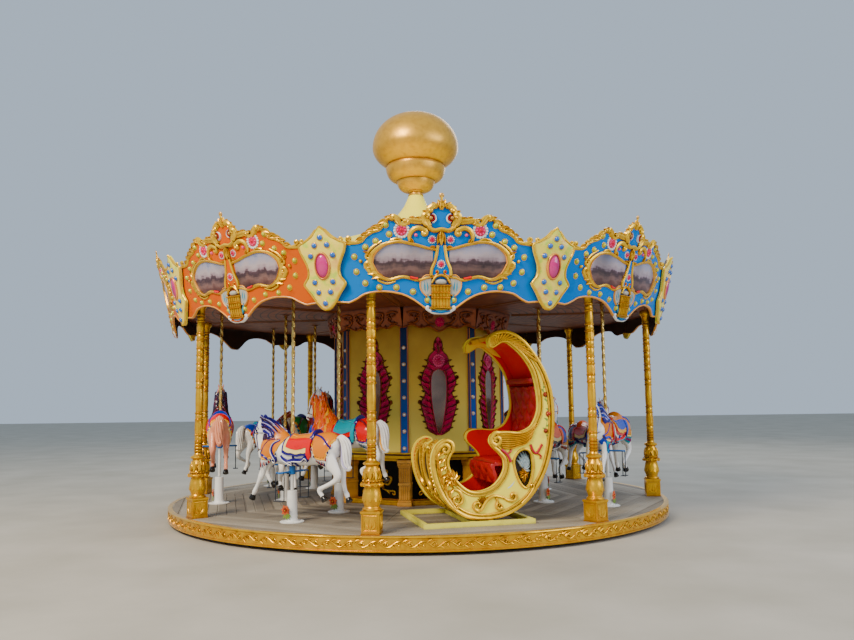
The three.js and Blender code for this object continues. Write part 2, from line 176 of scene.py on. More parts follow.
sky = bpy.data.worlds.new("soft_sky")
sky.use_nodes = True
sky.node_tree.nodes["Background"].inputs["Color"].default_value = srgb("#BCCEE2")
sky.node_tree.nodes["Background"].inputs["Strength"].default_value = 0.92
bpy.context.scene.world = sky

LAMP_AIM = (0, 0, 2)
for lamp_name, lamp_place, lamp_size, lamp_power, lamp_tint in (
    ("key_lamp", (-9.0, -13.0, 13.0), 6.0, 4500.0, "#FFEFD6"),
    ("fill_lamp", (12.0, -9.0, 7.0), 9.0, 1100.0, "#F4F4FF"),
    ("back_lamp", (4.0, 14.0, 12.0), 9.0, 900.0, "#FFFFFF"),
):
    lamp = bpy.data.lights.new(lamp_name, "AREA")
    lamp.size = lamp_size
    lamp.energy = lamp_power
    lamp.color = srgb(lamp_tint)[:3]
    lamp_object = bpy.data.objects.new(lamp_name, lamp)
    lamp_object.location = lamp_place
    aim = Vector(LAMP_AIM) - Vector(lamp_place)
    lamp_object.rotation_euler = aim.to_track_quat("-Z", "Y").to_euler()
    link(lamp_object)


# The base frame stays as the solid holds it: rolled steel sections, sprayed with dark machine
# enamel and dusty from the ground.
def machine_enamel():
    """Dark chassis enamel on steel: satin, with pale dust lying in patches."""
    material, tree = new_material("machine_enamel", 0.55)
    dust = noise(tree, 7.0, 8.0)
    return wired(material, tinted(tree, dust, (0.35, "#2A2A2C"), (0.75, "#5B5750")), dust, 0.2, 0.002)


def repaint(name, material):
    """Gives one of the frame's solids its finish."""
    solid = frame["nodes"][name]
    solid.data.materials.clear()
    solid.data.materials.append(material)


repaint("base_frame", machine_enamel())

# The deck: softwood boards laid across each of the eight sectors, square to the sector's middle,
# with gaps that let the rain through. They are weathered grey-brown and butt at random places.
DECK_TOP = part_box("deck_sector_2")[1].z
DECK_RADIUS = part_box("rim_fascia")[1].x
BAYS = 8
BAY = 360 / BAYS
COLUMN_PHASE = -8.5
RIM_THICKNESS = 0.06
RIM_GAP = 0.002
BOARD_WIDTH = 0.112
BOARD_GAP = 0.006
BOARD_THICKNESS = 0.022
BUTT_GAP = 0.004
BEARER_HALF = 0.03
DECK_CENTRE = 0.26


def mm(text):
    """Rows of numbers in millimetres, or in thousandths, with commas between the rows."""
    return [[float(number) / 1000 for number in row.split()] for row in text.split(",")]


def bay_angle(bay):
    """The angle of a bay's middle, from the front towards the right, in degrees."""
    return COLUMN_PHASE + BAY * (bay - 1.5)


def grid_faces(rows, columns):
    """Faces of a grid of points, row by row, with the last column joined to the first."""
    return [[r * columns + c, r * columns + (c + 1) % columns, (r + 1) * columns + (c + 1) % columns,
             (r + 1) * columns + c] for r in range(rows - 1) for c in range(columns)]


def capped(rows, columns):
    """Faces of a closed tube of points, ring by ring, with both ends capped."""
    last = (rows - 1) * columns
    return grid_faces(rows, columns) + [list(range(columns))[::-1], list(range(last, last + columns))]


def plate(outline, bottom, top, finish=0):
    """A flat outline, raised from bottom to top, as (points, faces, finish number)."""
    return [(x, y, z) for z in (bottom, top) for x, y in outline], capped(2, len(outline)), finish


def from_modifiers(carrier):
    """The mesh that an object's modifiers make. The object goes."""
    link(carrier)
    made = bpy.data.meshes.new_from_object(carrier.evaluated_get(bpy.context.evaluated_depsgraph_get()))
    bpy.data.meshes.remove(carrier.data)
    return made


def joined_mesh(name, shells, finishes, crease=38.0, share=1.0):
    """One mesh of closed shells, each (points, faces, finish number or one number a face).

    share thins a dense mesh to that part of its triangles, the flattest ones first.
    """
    points, faces, numbers, start = [], [], [], 0
    for shell_points, shell_faces, finish in shells:
        points.append(np.asarray(shell_points, float).reshape(-1, 3))
        faces += [[start + i for i in face] for face in shell_faces]
        numbers += finish if isinstance(finish, list) else [finish] * len(shell_faces)
        start += len(points[-1])
    mesh = bpy.data.meshes.new(name)
    mesh.from_pydata(np.concatenate(points).tolist(), [], faces)
    mesh.polygons.foreach_set("material_index", numbers)
    for material in finishes:
        mesh.materials.append(material)
    work = bmesh.new()
    work.from_mesh(mesh)
    bmesh.ops.recalc_face_normals(work, faces=work.faces)
    work.to_mesh(mesh)
    work.free()
    if share < 1:
        whole = bpy.data.objects.new("whole", mesh)
        whole.modifiers.new("fewer", "DECIMATE").ratio = share
        mesh = from_modifiers(whole)
        mesh.name = name
    mesh.shade_smooth()
    mesh.set_sharp_from_angle(angle=math.radians(crease))
    return mesh


def put(name, mesh, body="platform", turn=0.0, replaced=(), at=(0, 0, 0), baked=False):
    """Adds a piece that rides on a body, placed at the front and then turned about the ride's axis.

    baked turns a copy of the mesh in place of the object, which keeps a wide piece's box true.
    """
    around = Matrix.Rotation(math.radians(turn), 4, "Z")
    if baked:
        mesh = mesh.copy()
        mesh.transform(around)
    piece = bpy.data.objects.new(name, mesh)
    link(piece)
    piece.location = around @ Vector(at)
    piece.rotation_euler.z = 0.0 if baked else math.radians(turn)
    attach(piece, body)
    if replaced:
        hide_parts(*replaced)
    return piece


def weathered_softwood():
    """Softwood left outdoors: grey-brown, each board its own tone, with grain along the board."""
    material, tree = new_material("weathered_softwood", 0.72)
    grain = noise(tree, 3.0, 8.0, place(tree, (1.6, 60.0, 20.0)), 0.7)
    across = node(tree, "SeparateXYZ", {"Vector": place(tree)}, output="Y")
    board = worked(tree, "DIVIDE", across, BOARD_WIDTH + BOARD_GAP)
    number = node(tree, "Math", {0: board}, operation="FLOOR")
    tone = node(tree, "TexWhiteNoise", {"W": number}, noise_dimensions="1D")
    summed = worked(tree, "ADD", worked(tree, "ADD", grain, tone), noise(tree, 2.2, 5.0))
    tint = tinted(tree, worked(tree, "DIVIDE", summed, 3.0), (0.25, "#6E6557"), (0.5, "#8F8573"),
                  (0.75, "#A9A08F"))
    return wired(material, tint, grain, 0.35, 0.0015)


def deck_boards():
    """The boards of one sector and the bearers under them, at the front."""
    edge = DECK_RADIUS - RIM_THICKNESS - RIM_GAP
    slope = math.tan(math.radians(BAY / 2))
    chance = np.random.default_rng(5)
    shells = []
    near = DECK_CENTRE
    while near < edge - 0.03:
        far = min(near + BOARD_WIDTH, edge - 0.001)
        lines = np.linspace(near, far, 5 if far > edge * math.cos(math.radians(BAY / 2)) else 2)
        half = np.minimum(lines * slope - 0.003, np.sqrt(edge ** 2 - lines ** 2))
        right = [(x, -y) for x, y in zip(half, lines)]
        left = [(-x, -y) for x, y in zip(half[::-1], lines[::-1])]
        parts = [right + left]
        if half.min() > 0.6:
            cut = chance.uniform(-0.45, 0.45) * half.min()
            one, other = cut + BUTT_GAP / 2, cut - BUTT_GAP / 2
            parts = [right + [(one, -far), (one, -near)], [(other, -near), (other, -far)] + left]
        shells += [plate(part, DECK_TOP - BOARD_THICKNESS, DECK_TOP) for part in parts]
        near = far + BOARD_GAP
    for x in (-0.9, -0.3, 0.3, 0.9):
        start = max(DECK_CENTRE + 0.1, (abs(x) + 2 * BEARER_HALF) / slope)
        end = math.sqrt(edge ** 2 - x ** 2) - 2 * BEARER_HALF
        shells.append(plate(rect(x - BEARER_HALF, x + BEARER_HALF, -start, -end), DECK_TOP - 0.06,
                            DECK_TOP - BOARD_THICKNESS - 0.0005))
    return joined_mesh("deck_boards", shells, [weathered_softwood()])


boards = deck_boards()
for bay in range(1, BAYS + 1):
    put(f"deck_boards_{bay}", boards, turn=bay_angle(bay), replaced=[f"deck_sector_{bay}"])

# The rod sleeves: white enamelled steel tubes on round bolted flanges, one under each horse. A
# painted transfer of an orange flower with two green leaves sits low on each.
OUTER_ROW = 2.84
INNER_ROW = 1.95
CHARIOT_BAY = 2
SLEEVE_TOP = DECK_TOP + 0.36
SLEEVE_RADIUS = 0.057
FLANGE_RADIUS = 0.139
BORE_RADIUS = 0.022
BOLT_CIRCLE = 0.112
FLOWER_HEIGHT = 0.135
ROUND = [(math.cos(a), math.sin(a)) for a in np.linspace(0, math.pi, 5)]
LEAF = [(1.0, 0.0), (0.6, 0.9), (0.0, 0.45), (-0.6, 0.9), (-1.0, 0.0)]
SINK = 0.0015


def lathe(profile, segments, finish=0):
    """A profile of (radius, height) revolved about the vertical axis, closed on itself or the axis."""
    angles = np.linspace(0, 2 * math.pi, segments, endpoint=False)
    rows = [np.stack([r * np.sin(angles), -r * np.cos(angles), np.full(segments, z)], -1) for r, z in profile]
    count, round_it = len(profile), [(c, (c + 1) % segments) for c in range(segments)]
    if profile[0][0] == 0:
        rows[0], rows[-1] = rows[0][:1], rows[-1][:1]
        last, tip = 1 + (count - 3) * segments, 1 + (count - 2) * segments
        faces = [[0, 1 + after, 1 + c] for c, after in round_it]
        faces += [[1 + i for i in face] for face in grid_faces(count - 2, segments)]
        faces += [[last + c, last + after, tip] for c, after in round_it]
    else:
        last = (count - 1) * segments
        faces = grid_faces(count, segments) + [[last + c, last + after, after, c] for c, after in round_it]
    return np.concatenate(rows), faces, finish


def moved(shells, offset=(0, 0, 0), turn=0.0):
    """Shells turned about the axis, in degrees, and then moved."""
    spin = np.array(Matrix.Rotation(math.radians(turn), 3, "Z")).T
    return [(np.asarray(points) @ spin + offset, faces, finish) for points, faces, finish in shells]


def ridge(path, half_width, rise, lay, finish=0, section=ROUND):
    """A closed raised band along a path of (u, v). lay sets points (u, v, height) on the surface."""
    path = np.asarray(path, float)
    count = len(path)
    run = np.gradient(path, axis=0)
    run /= np.linalg.norm(run, axis=1, keepdims=True) + 1e-9
    across, up = np.array(section).T
    wide = np.broadcast_to(half_width, count)[:, None] * across
    high = np.broadcast_to(rise, count)[:, None] * up
    high = np.where(up > 1e-6, high, -SINK)
    points = lay(path[:, :1] - run[:, 1:] * wide, path[:, 1:] + run[:, :1] * wide, high)
    return points.reshape(-1, 3), capped(count, len(section)), finish


def leaf(root, tip, width, rise, lay, finish=0, bow=0.0, steps=6):
    """A pointed leaf with a sunk midrib, bowed sideways by that share of its length."""
    root, tip = np.array(root, float), np.array(tip, float)
    t = np.linspace(0, 1, steps)
    side = np.array([-(tip - root)[1], (tip - root)[0]]) * bow
    path = root + np.outer(t, tip - root) + np.outer(np.sin(math.pi * t), side)
    swell = np.sin(math.pi * (0.08 + 0.92 * t) ** 0.8)
    return ridge(path, 0.5 * width * swell + 0.001, rise * (0.35 + 0.65 * swell), lay, finish, LEAF)


def dome(u, v, radius, rise, lay, finish=0, segments=10, stretch=1.0):
    """A low dome on the surface, stretched along v."""
    lifts = np.radians([-8, 20, 50, 75])
    turns = np.linspace(0, 2 * math.pi, segments, endpoint=False)
    ring = [(u + radius * math.cos(b) * np.cos(turns), v + radius * stretch * math.cos(b) * np.sin(turns),
             np.full(segments, rise * math.sin(b))) for b in lifts]
    points = lay(*[np.stack([row[k] for row in ring]) for k in range(3)]).reshape(-1, 3)
    return points, capped(len(lifts), segments), finish


def ridges(text, lay, finish=0):
    """Ridges from rows of half width, rise and the path's points."""
    return [ridge(np.reshape(row[2:], (-1, 2)), *row[:2], lay, finish) for row in mm(text)]


def leaves(text, lay, finish, rise, width=0.0, bow=0.0, steps=6):
    """Leaves from rows of root, tip and width. One width for all can take the place of the last."""
    return [leaf(row[:2], row[2:4], width or row[4], rise, lay, finish, bow, steps) for row in mm(text)]


def enamel(name, bright, deep, roughness=0.28, coat=0.1, shine=0.3):
    """Gloss enamel on a moulding: an even coat that varies a little, with painted shade that darkens it in
    corners and creases.
    """
    material, tree = new_material(name, roughness, coat=coat, shine=shine)
    # Painted shade: ambient occlusion darkens the colour in corners and creases.
    corners = node(tree, "AmbientOcclusion", {"Distance": 0.035}, output="AO", samples=5)
    shade = worked(tree, "MULTIPLY", noise(tree, 5.0, 5.0), corners)
    return wired(material, tinted(tree, shade, (0.12, deep), (0.42, bright)), noise(tree, 160.0, 2.0), 0.06,
                 0.001)


white_enamel = enamel("white_enamel", "#F1F1EC", "#B9B6AC")
leaf_green = enamel("leaf_green_enamel", "#7D9A3A", "#3E5A22")
sleeve_finishes = [white_enamel, enamel("flower_orange_enamel", "#E0662A", "#9C3512"), leaf_green,
                   enamel("flower_yellow_enamel", "#E2B53A", "#A06A1A"),
                   enamel("flower_red_enamel", "#C8281A", "#7A120C")]


def rod_sleeve(radius):
    """A sleeve under a horse's rod, at the front."""
    foot = DECK_TOP + 0.0005
    profile = [(BORE_RADIUS, foot), (FLANGE_RADIUS, foot), (FLANGE_RADIUS, foot + 0.010),
               (FLANGE_RADIUS - 0.004, foot + 0.012), (0.080, foot + 0.016), (0.066, foot + 0.030),
               (0.062, foot + 0.050), (SLEEVE_RADIUS, SLEEVE_TOP - 0.004),
               (SLEEVE_RADIUS - 0.003, SLEEVE_TOP - 0.001), (BORE_RADIUS, SLEEVE_TOP - 0.001)]

    def transfer(u, v, h):
        return np.stack([u - 0.034, -0.078 - h, v + foot], -1)

    shells = [lathe(profile, 28)]
    for k in range(7):
        for reach, lag, width, rise, finish in ((0.066, 0, 0.050, 0.010, 1), (0.036, 0.4, 0.024, 0.016, 4)):
            turn = math.radians(360 * k / 7 + 15) + lag
            tip = (reach * math.cos(turn), FLOWER_HEIGHT + reach * math.sin(turn))
            shells.append(leaf((0, FLOWER_HEIGHT), tip, width, rise, transfer, finish))
    shells.append(dome(0, FLOWER_HEIGHT, 0.014, 0.020, transfer, 3))
    shells += leaves("10 100 62 40, 10 100 22 30, 10 100 -35 45, 10 100 78 75", transfer, 2, 0.008, 0.036)
    shells.append(plate(rect(-0.052, -0.016, -0.0785, -0.040), foot + 0.09, foot + 0.175))
    for turn in np.radians([45, 135, 225, 315]):
        bolt = [(0, foot + 0.010), (0.011, foot + 0.010), (0.011, foot + 0.019), (0, foot + 0.020)]
        shells += moved([lathe(bolt, 6)], (BOLT_CIRCLE * math.cos(turn), BOLT_CIRCLE * math.sin(turn), 0))
    return joined_mesh("rod_sleeve", moved(shells, (0, -radius, 0)), sleeve_finishes)


HORSE_BAYS = [bay for bay in range(1, BAYS + 1) if bay != CHARIOT_BAY]
for row, radius in (("outer", OUTER_ROW), ("inner", INNER_ROW)):
    sleeve = rod_sleeve(radius)
    for bay in HORSE_BAYS:
        put(f"rod_sleeve_{row}_{bay}", sleeve, turn=bay_angle(bay))

# The rim: aluminium castings screwed round the deck and painted gold, with a plain bead above and
# below and a running wave of scrolls between, about a quarter of a metre to each.
RIM_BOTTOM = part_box("rim_fascia")[0].z
RIM_REPEATS = 88
WAVE_HEIGHT = 0.03


def gold_paint(name, bright, middle, deep, roughness=0.34, metallic=0.55):
    """Gold bronze paint on cast ornament, metallic, with painted shade that browns it in hollows and crevices
    and leaves open faces bright.
    """
    material, tree = new_material(name, roughness, metallic, coat=0.03)
    # Painted shade: ambient occlusion browns the gold in hollows and crevices.
    hollow_shade = node(tree, "AmbientOcclusion", {"Distance": 0.05}, output="AO", samples=6)
    shade = worked(tree, "MULTIPLY", hollow_shade, remap(tree, noise(tree, 14.0, 6.0), 0.3, 0.7, 0.75, 1.05))
    tint = tinted(tree, shade, (0.25, deep), (0.62, middle), (0.95, bright))
    return wired(material, tint, noise(tree, 90.0, 4.0), 0.12, 0.0015)


gilt = gold_paint("gold_bronze_paint", "#ECB61C", "#D08E08", "#643806", 0.3, 0.72)


def round_face(radius, bend, level=0.0, lean=0.0, foot=0.0):
    """A face round the axis: u along a circle of radius bend, v up from level, h out from it."""
    def lay(u, v, h):
        out = radius + lean * (v - foot) + h
        return np.stack([out * np.sin(u / bend), -out * np.cos(u / bend), v + level], -1)
    return lay


def whirl(start, heading, length, bends, steps=16):
    """A path from start with a heading in degrees. bends are its turns over its length, in order."""
    t = np.linspace(0, 1, steps)
    turned = np.cumsum(np.interp(t, np.linspace(0, 1, len(bends)), bends)) / steps * 2 * math.pi
    heading = math.radians(heading) + turned
    stride = length / steps
    return np.stack([start[0] + np.cumsum(np.cos(heading)) * stride,
                     start[1] + np.cumsum(np.sin(heading)) * stride], -1)


def smooth(points, per=5):
    """A smooth curve through points."""
    points = np.asarray(points, float)
    ends = np.vstack([2 * points[0] - points[1], points, 2 * points[-1] - points[-2]])
    t = np.linspace(0, 1, per, endpoint=False)[:, None]
    parts = []
    for a, b, c, d in zip(ends, ends[1:], ends[2:], ends[3:]):
        parts.append(0.5 * (2 * b + (c - a) * t + (2 * a - 5 * b + 4 * c - d) * t ** 2
                            + (3 * b - a - 3 * c + d) * t ** 3))
    return np.vstack(parts + [points[-1:]])


def scroll(points, turns, size, width, rise, lay, finish=0, per=4, steps=10):
    """A carved scroll: a swelling stem through points that ends in a volute of that size."""
    stem = smooth(points, per)
    run = stem[-1] - stem[-2]
    t = np.linspace(0, 1, steps + 1)[1:]
    turned = math.atan2(run[1], run[0]) + 2 * math.pi * turns * t
    stride = size * (1 - 0.78 * t) * 2 * math.pi * abs(turns) / steps
    coil = stem[-1] + np.cumsum(np.stack([np.cos(turned), np.sin(turned)], -1) * stride[:, None], axis=0)
    path = np.vstack([stem, coil])
    share = np.linspace(0, 1, len(path))
    half = np.interp(share, [0, 0.25, 0.6, 1], [0.3 * width, 0.5 * width, 0.5 * width, 0.26 * width])
    lift = np.interp(share, [0, 0.5, 1], [0.6 * rise, rise, 0.85 * rise])
    return ridge(path, half, lift, lay, finish)


def scrolls(text, lay, finish):
    """Scrolls from rows of turns, volute size, width, rise and the stem's points."""
    return [scroll(np.reshape(row[4:], (-1, 2)), *row[:4], lay, finish) for row in mm(text)]


def rim_castings():
    """The whole rim, with its bead mouldings and scrollwork."""
    outer, inner, field = DECK_RADIUS, DECK_RADIUS - RIM_THICKNESS, DECK_RADIUS - 0.011
    profile = [(inner, RIM_BOTTOM), (outer - 0.004, RIM_BOTTOM), (outer, RIM_BOTTOM + 0.005),
               (outer, RIM_BOTTOM + 0.014), (field, RIM_BOTTOM + 0.020), (field, DECK_TOP - 0.022),
               (outer, DECK_TOP - 0.016), (outer, DECK_TOP - 0.005), (outer - 0.005, DECK_TOP),
               (inner, DECK_TOP)]
    on_rim = round_face(field, outer, (DECK_TOP + RIM_BOTTOM) / 2)
    shells = [lathe(profile, 180)]
    pitch = 2 * math.pi * outer / RIM_REPEATS
    for k in range(RIM_REPEATS):
        start = k * pitch
        wave = np.linspace(0, 1, 13)
        path = np.stack([start + pitch * wave, WAVE_HEIGHT * np.sin(2 * math.pi * wave)], -1)
        shells.append(ridge(path, 0.0065, 0.009, on_rim))
        for spot, way in ((0.25, -1), (0.75, 1)):
            curl = whirl((start + spot * pitch, -WAVE_HEIGHT * way), 60 * way, 0.12,
                         way * np.array([0.2, 1.3, 3.0]), 11)
            shells.append(ridge(curl, np.linspace(0.007, 0.003, 11), 0.008, on_rim))
        for u0, v0, u1, v1 in mm("360 16 620 50, 520 -4 820 34, 860 -16 1120 -50, 1020 4 1320 -34"):
            shells.append(leaf((start + u0 * pitch, v0), (start + u1 * pitch, v1), 0.026, 0.008, on_rim,
                               bow=0.15, steps=5))
    return joined_mesh("rim_castings", shells, [gilt], share=0.65)


put("rim_castings", rim_castings(), turn=COLUMN_PHASE, replaced=["rim_fascia"], baked=True)

# The columns: turned and cast aluminium in a stack over a steel tube, painted gold. Each has a
# square panelled plinth, a leafed vase, a ring of curled leaves, a fluted drum and a beaded shaft.
# The tables give radius and height above the deck, and half width, foot and top of a step.
COLUMN_RADIUS = 3.334
COLUMN_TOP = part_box("column_1")[1].z - DECK_TOP
PLINTH_FACE = 0.094
COLUMN_FOOT = mm("""0 240, 98 240, 101 250, 98 262, 86 268, 79 280, 84 300, 94 325, 100 355, 99 385,
    93 420, 84 450, 76 478, 79 486, 98 491, 115 498, 121 507, 116 516, 99 523, 89 530, 92 540, 94 552,
    87 562, 84 575, 87 600, 89 625, 84 650, 75 668, 68 682, 67 694, 78 703, 91 711, 93 721, 86 731, 66 741,
    53 751, 49 770""")
SHAFT_RINGS = mm("795 830 868 905 985 1170 1250 1560 1640 1769 1850 1958 2040 2145 2225 2381 2460")[0]
RING = mm("49 -12, 53 -7, 53 -2, 48.5 1, 53 4, 53 8, 47 12")
CAPITAL = mm("48 2475, 50 2510, 60 2545, 76 2565, 79 2580")
PLINTH_STEPS = mm("100 0.5 12, 94 10 212, 98 210 220, 103.5 218 234, 98 232 241.5")


def column_profile():
    """Radius and height above the deck, from the plinth up."""
    profile = list(COLUMN_FOOT)
    previous = 0.775
    for height in SHAFT_RINGS:
        for t in (0.0, 0.2, 0.5, 0.8, 1.0):
            swell = 0.0435 + 0.0055 * math.sin(math.pi * t)
            profile.append((swell, previous + t * (height - 0.014 - previous)))
        profile += [(radius, height + rise) for radius, rise in RING]
        previous = height + 0.014
    return profile + CAPITAL + [(0.079, COLUMN_TOP - 0.001), (0, COLUMN_TOP - 0.001)]


def column_mesh():
    """A column at the front."""
    shells = [lathe(column_profile(), 30)]

    def round_it(count, make):
        shells.extend(make(2 * math.pi * k / count) for k in range(count))

    def on_shaft(radius, lean=0.0, foot=0.0):
        return round_face(radius, radius, 0.0, lean, foot)

    lower, upper, fan = on_shaft(0.100, -0.17, 0.355), on_shaft(0.088, -0.12, 0.610), on_shaft(0.106)
    round_it(10, lambda a: leaf((0.100 * a, 0.335), (0.100 * a, 0.472), 0.046, 0.004, lower, steps=7))
    round_it(12, lambda a: leaf((0.106 * a, 0.486), (0.106 * a, 0.530), 0.052, 0.019, fan))
    round_it(16, lambda a: dome(0.094 * a, 0.541, 0.010, 0.008, on_shaft(0.094), segments=6))
    round_it(9, lambda a: leaf((0.088 * a, 0.560), (0.088 * a, 0.672), 0.050, 0.010, upper))
    round_it(9, lambda a: scroll([(0.088 * a + 0.026, 0.566), (0.088 * a + 0.038, 0.600),
                                  (0.088 * a + 0.028, 0.632)],
                                 0.9, 0.009, 0.014, 0.013, upper, per=3, steps=7))
    for low, high in ((0.995, 1.160), (1.650, 1.760), (2.050, 2.135)):
        round_it(8, lambda a: leaf((0.05 * a, low), (0.05 * a, high), 0.030, 0.005, on_shaft(0.0455)))
    shells += [plate(rect(-half, half, -half, half), low, high) for half, low, high in PLINTH_STEPS]

    def on_face(u, v, h):
        return np.stack([u, -(PLINTH_FACE + h), v], -1)

    frame_line = rect(-0.068, 0.068, 0.045, 0.192)
    panel = [ridge([a, ((a[0] + b[0]) / 2, (a[1] + b[1]) / 2), b], 0.0055, 0.006, on_face)
             for a, b in zip(frame_line, frame_line[1:] + frame_line[:1])]
    for tip, bow in (((0.0, 0.175), 0.0), ((-0.045, 0.150), 0.25), ((0.045, 0.150), -0.25)):
        panel.append(leaf((0, 0.055), tip, 0.036, 0.007, on_face, bow=bow))
    panel += ridges("5 4 -83 34 -83 118 -83 200, 5 4 83 34 83 118 83 200", on_face)
    for side in range(4):
        shells += moved(panel, turn=90 * side)
    return joined_mesh("column", moved(shells, (0, -COLUMN_RADIUS, DECK_TOP)), [gilt], share=0.55)


column = column_mesh()
for i in range(BAYS):
    put(f"gilt_column_{i + 1}", column, turn=COLUMN_PHASE + BAY * i,
        replaced=[f"column_{i + 1}"])

# The roof: twenty-four glass-fibre gores in pale yellow gelcoat, bolted along raised flanges, that
# sweep up to a steep neck under the finial. The sweep's table gives radius and height.
ROOF_GORES = 24
ROOF_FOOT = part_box("roof")[0].z
ROOF_SWEEP = mm("""3478 3208, 2900 3385, 2300 3562, 1830 3698, 1350 3838, 900 3988, 660 4085, 480 4188,
    370 4278, 290 4378, 230 4455, 180 4528, 142 4612, 110 4689""")
ROOF_EDGE = ROOF_SWEEP[0][0]
cream_gelcoat = enamel("cream_gelcoat", "#FFF250", "#E2D03A", 0.42, 0.0, 0.2)


def roof_shell():
    """The gores with their flanges, the skirt behind the cornice, and the underside."""
    under = [(max(r - 0.016, 0.06), z - 0.018) for r, z in ROOF_SWEEP[::-1]]
    profile = [(ROOF_EDGE, ROOF_FOOT + 0.0005), *ROOF_SWEEP, *under, (ROOF_EDGE - 0.018, ROOF_FOOT + 0.0005)]
    steps = np.arange(len(ROOF_SWEEP), dtype=float)

    def on_gore(u, v, h):
        out, high = (np.interp(v, steps, column) for column in np.array(ROOF_SWEEP).T)
        return np.stack([u * out / ROOF_EDGE, -out, high + h], -1)

    line = np.stack([0 * steps, steps], -1)[:7]
    flange = ridge(line, [0.022] * 6 + [0.002], [0.014] * 6 + [0.002], on_gore)
    shells = [lathe(profile, ROOF_GORES * 3)]
    for k in range(ROOF_GORES):
        shells += moved([flange], turn=360 * k / ROOF_GORES)
    return joined_mesh("roof_gores", shells, [cream_gelcoat], crease=50)


put("roof_gores", roof_shell(), replaced=["roof"])

# The finial: three spun tiers of glass fibre under one large oblate ball, sprayed satin gold and
# standing on a short collar over the roof's neck.
FINIAL_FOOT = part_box("finial")[0].z
FINIAL_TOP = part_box("finial")[1].z
BALL_CENTRE = 5.440
BALL_RADIUS = 0.6595
satin_gold = gold_paint("satin_gold_lacquer", "#DDA838", "#C08A26", "#5A3608", 0.36, 0.6)


def finial_mesh():
    """The collar, the bulging tiers and the ball, revolved."""
    profile = [(r, FINIAL_FOOT + z) for r, z in mm("0 0, 118 0, 119 12, 108 18, 106 44, 118 50")]
    for r0, z0, r1, z1, bulge in mm("130 4752 292 4912 42, 300 4916 458 5118 40"):
        for t in np.linspace(0, 1, 12):
            swell = math.sin(math.pi * t ** 0.75) * bulge
            profile.append((r0 + (r1 - r0) * t ** 0.7 + swell * 0.75, z0 + (z1 - z0) * t - swell * 0.35))
        profile.append((r1 - 0.012, z1 + 0.002))
    for t in np.radians(np.linspace(-50, 90, 34)):
        drop = 0.40 * 0.93 if t < 0 else FINIAL_TOP - BALL_CENTRE
        profile.append((BALL_RADIUS * math.cos(t) ** 0.92 if t < math.radians(89.5) else 0.0,
                        BALL_CENTRE + drop * math.sin(t)))
    return joined_mesh("onion_finial", [lathe(profile, 72)], [satin_gold], crease=30)


put("onion_finial", finial_mesh(), replaced=["finial"])

# The cornice: nine glass-fibre boards, bolted by their backs to the roof's edge so that they lean
# out, with carved ornament moulded in one with them and painted by hand. They are enamelled blue
# or orange, set with glass bulbs, and each has two landscapes in a gilt frame. The tables give
# points along the board and above the deck.
PANELS = 9
CORNICE_PHASE = 4.1
CORNICE_FOOT = 2.30
CORNICE_FOOT_RADIUS = 3.46
CORNICE_LEAN = 0.244
ARC_RADIUS = 3.5
BOARD_FACE = -0.012
BOARD_BACK = -0.029
PANEL_HALF_WIDTH = 1.2155
ORANGE_PANELS = (3, 4, 8, 9)
GROUND, GOLD, EDGE, PICTURE, BULB, MAGENTA, PINK, WHITE, SILVER, RED, BACK, TEAL, KNOB = range(13)
TOP_EDGE = mm("""0 3400, 40 3385, 100 3345, 150 3315, 165 3217, 195 3207, 313 3221, 376 3201, 416 3213,
    448 3250, 499 3272, 559 3235, 611 3160, 697 3130, 774 3084, 808 3044, 911 3027, 1215.5 3028""")
BOTTOM_EDGE = mm("""0 2272, 113 2306, 172 2334, 279 2410, 397 2469, 543 2500, 668 2503, 798 2484, 881 2440,
    965 2404, 1026 2404, 1215.5 2425""")
WINDOW_TOP = mm("50 2925, 140 2943, 282 2984, 431 3011, 575 2982, 690 2896, 723 2805")
WINDOW_FOOT = mm("50 2650, 145 2640, 236 2618, 389 2655, 536 2627, 655 2688, 723 2800")
BULBS = mm("""138 2415, 291 2502, 464 2548, 643 2552, 790 2600, 878 2719, 890 2873, 769 2965, 660 3022,
    521 3088, 555 3183""")
PANEL_SCROLLS = """950 32 50 26 640 2655 720 2700 775 2770, -900 26 34 20 600 3020 700 2960 765 2880,
    900 20 26 18 470 2610 560 2590 645 2620, -900 20 28 20 350 2985 430 3040 500 3030,
    900 30 56 34 315 3010 318 3070 285 3125 225 3145 160 3120, -900 18 34 26 250 3205 290 3205 320 3215,
    -900 22 50 30 340 3185 385 3170 425 3215 455 3262, 1100 24 38 26 840 3015 900 3022 945 3035,
    950 30 60 40 100 3140 165 3185 180 3255, -900 24 45 36 20 3360 75 3375 125 3340"""
PANEL_LEAVES = """20 3345 40 3430 62, 55 3335 95 3405 62, 95 3310 148 3365 60, 130 3270 192 3318 58,
    150 3225 205 3262 50, 190 3215 260 3250 50, 250 3220 320 3255 50, 410 3175 510 3290 80,
    470 3225 570 3262 60, 530 3215 640 3185 68, 590 3145 705 3168 60, 650 3130 765 3118 60,
    725 3090 815 3085 54, 780 3055 870 3030 48, 335 3205 410 3232 46, 600 2660 720 2640 70,
    660 2700 760 2690 70, 700 2760 800 2755 60, 715 2860 800 2925 44, 280 2990 340 3050 36,
    60 2950 130 2925 50"""


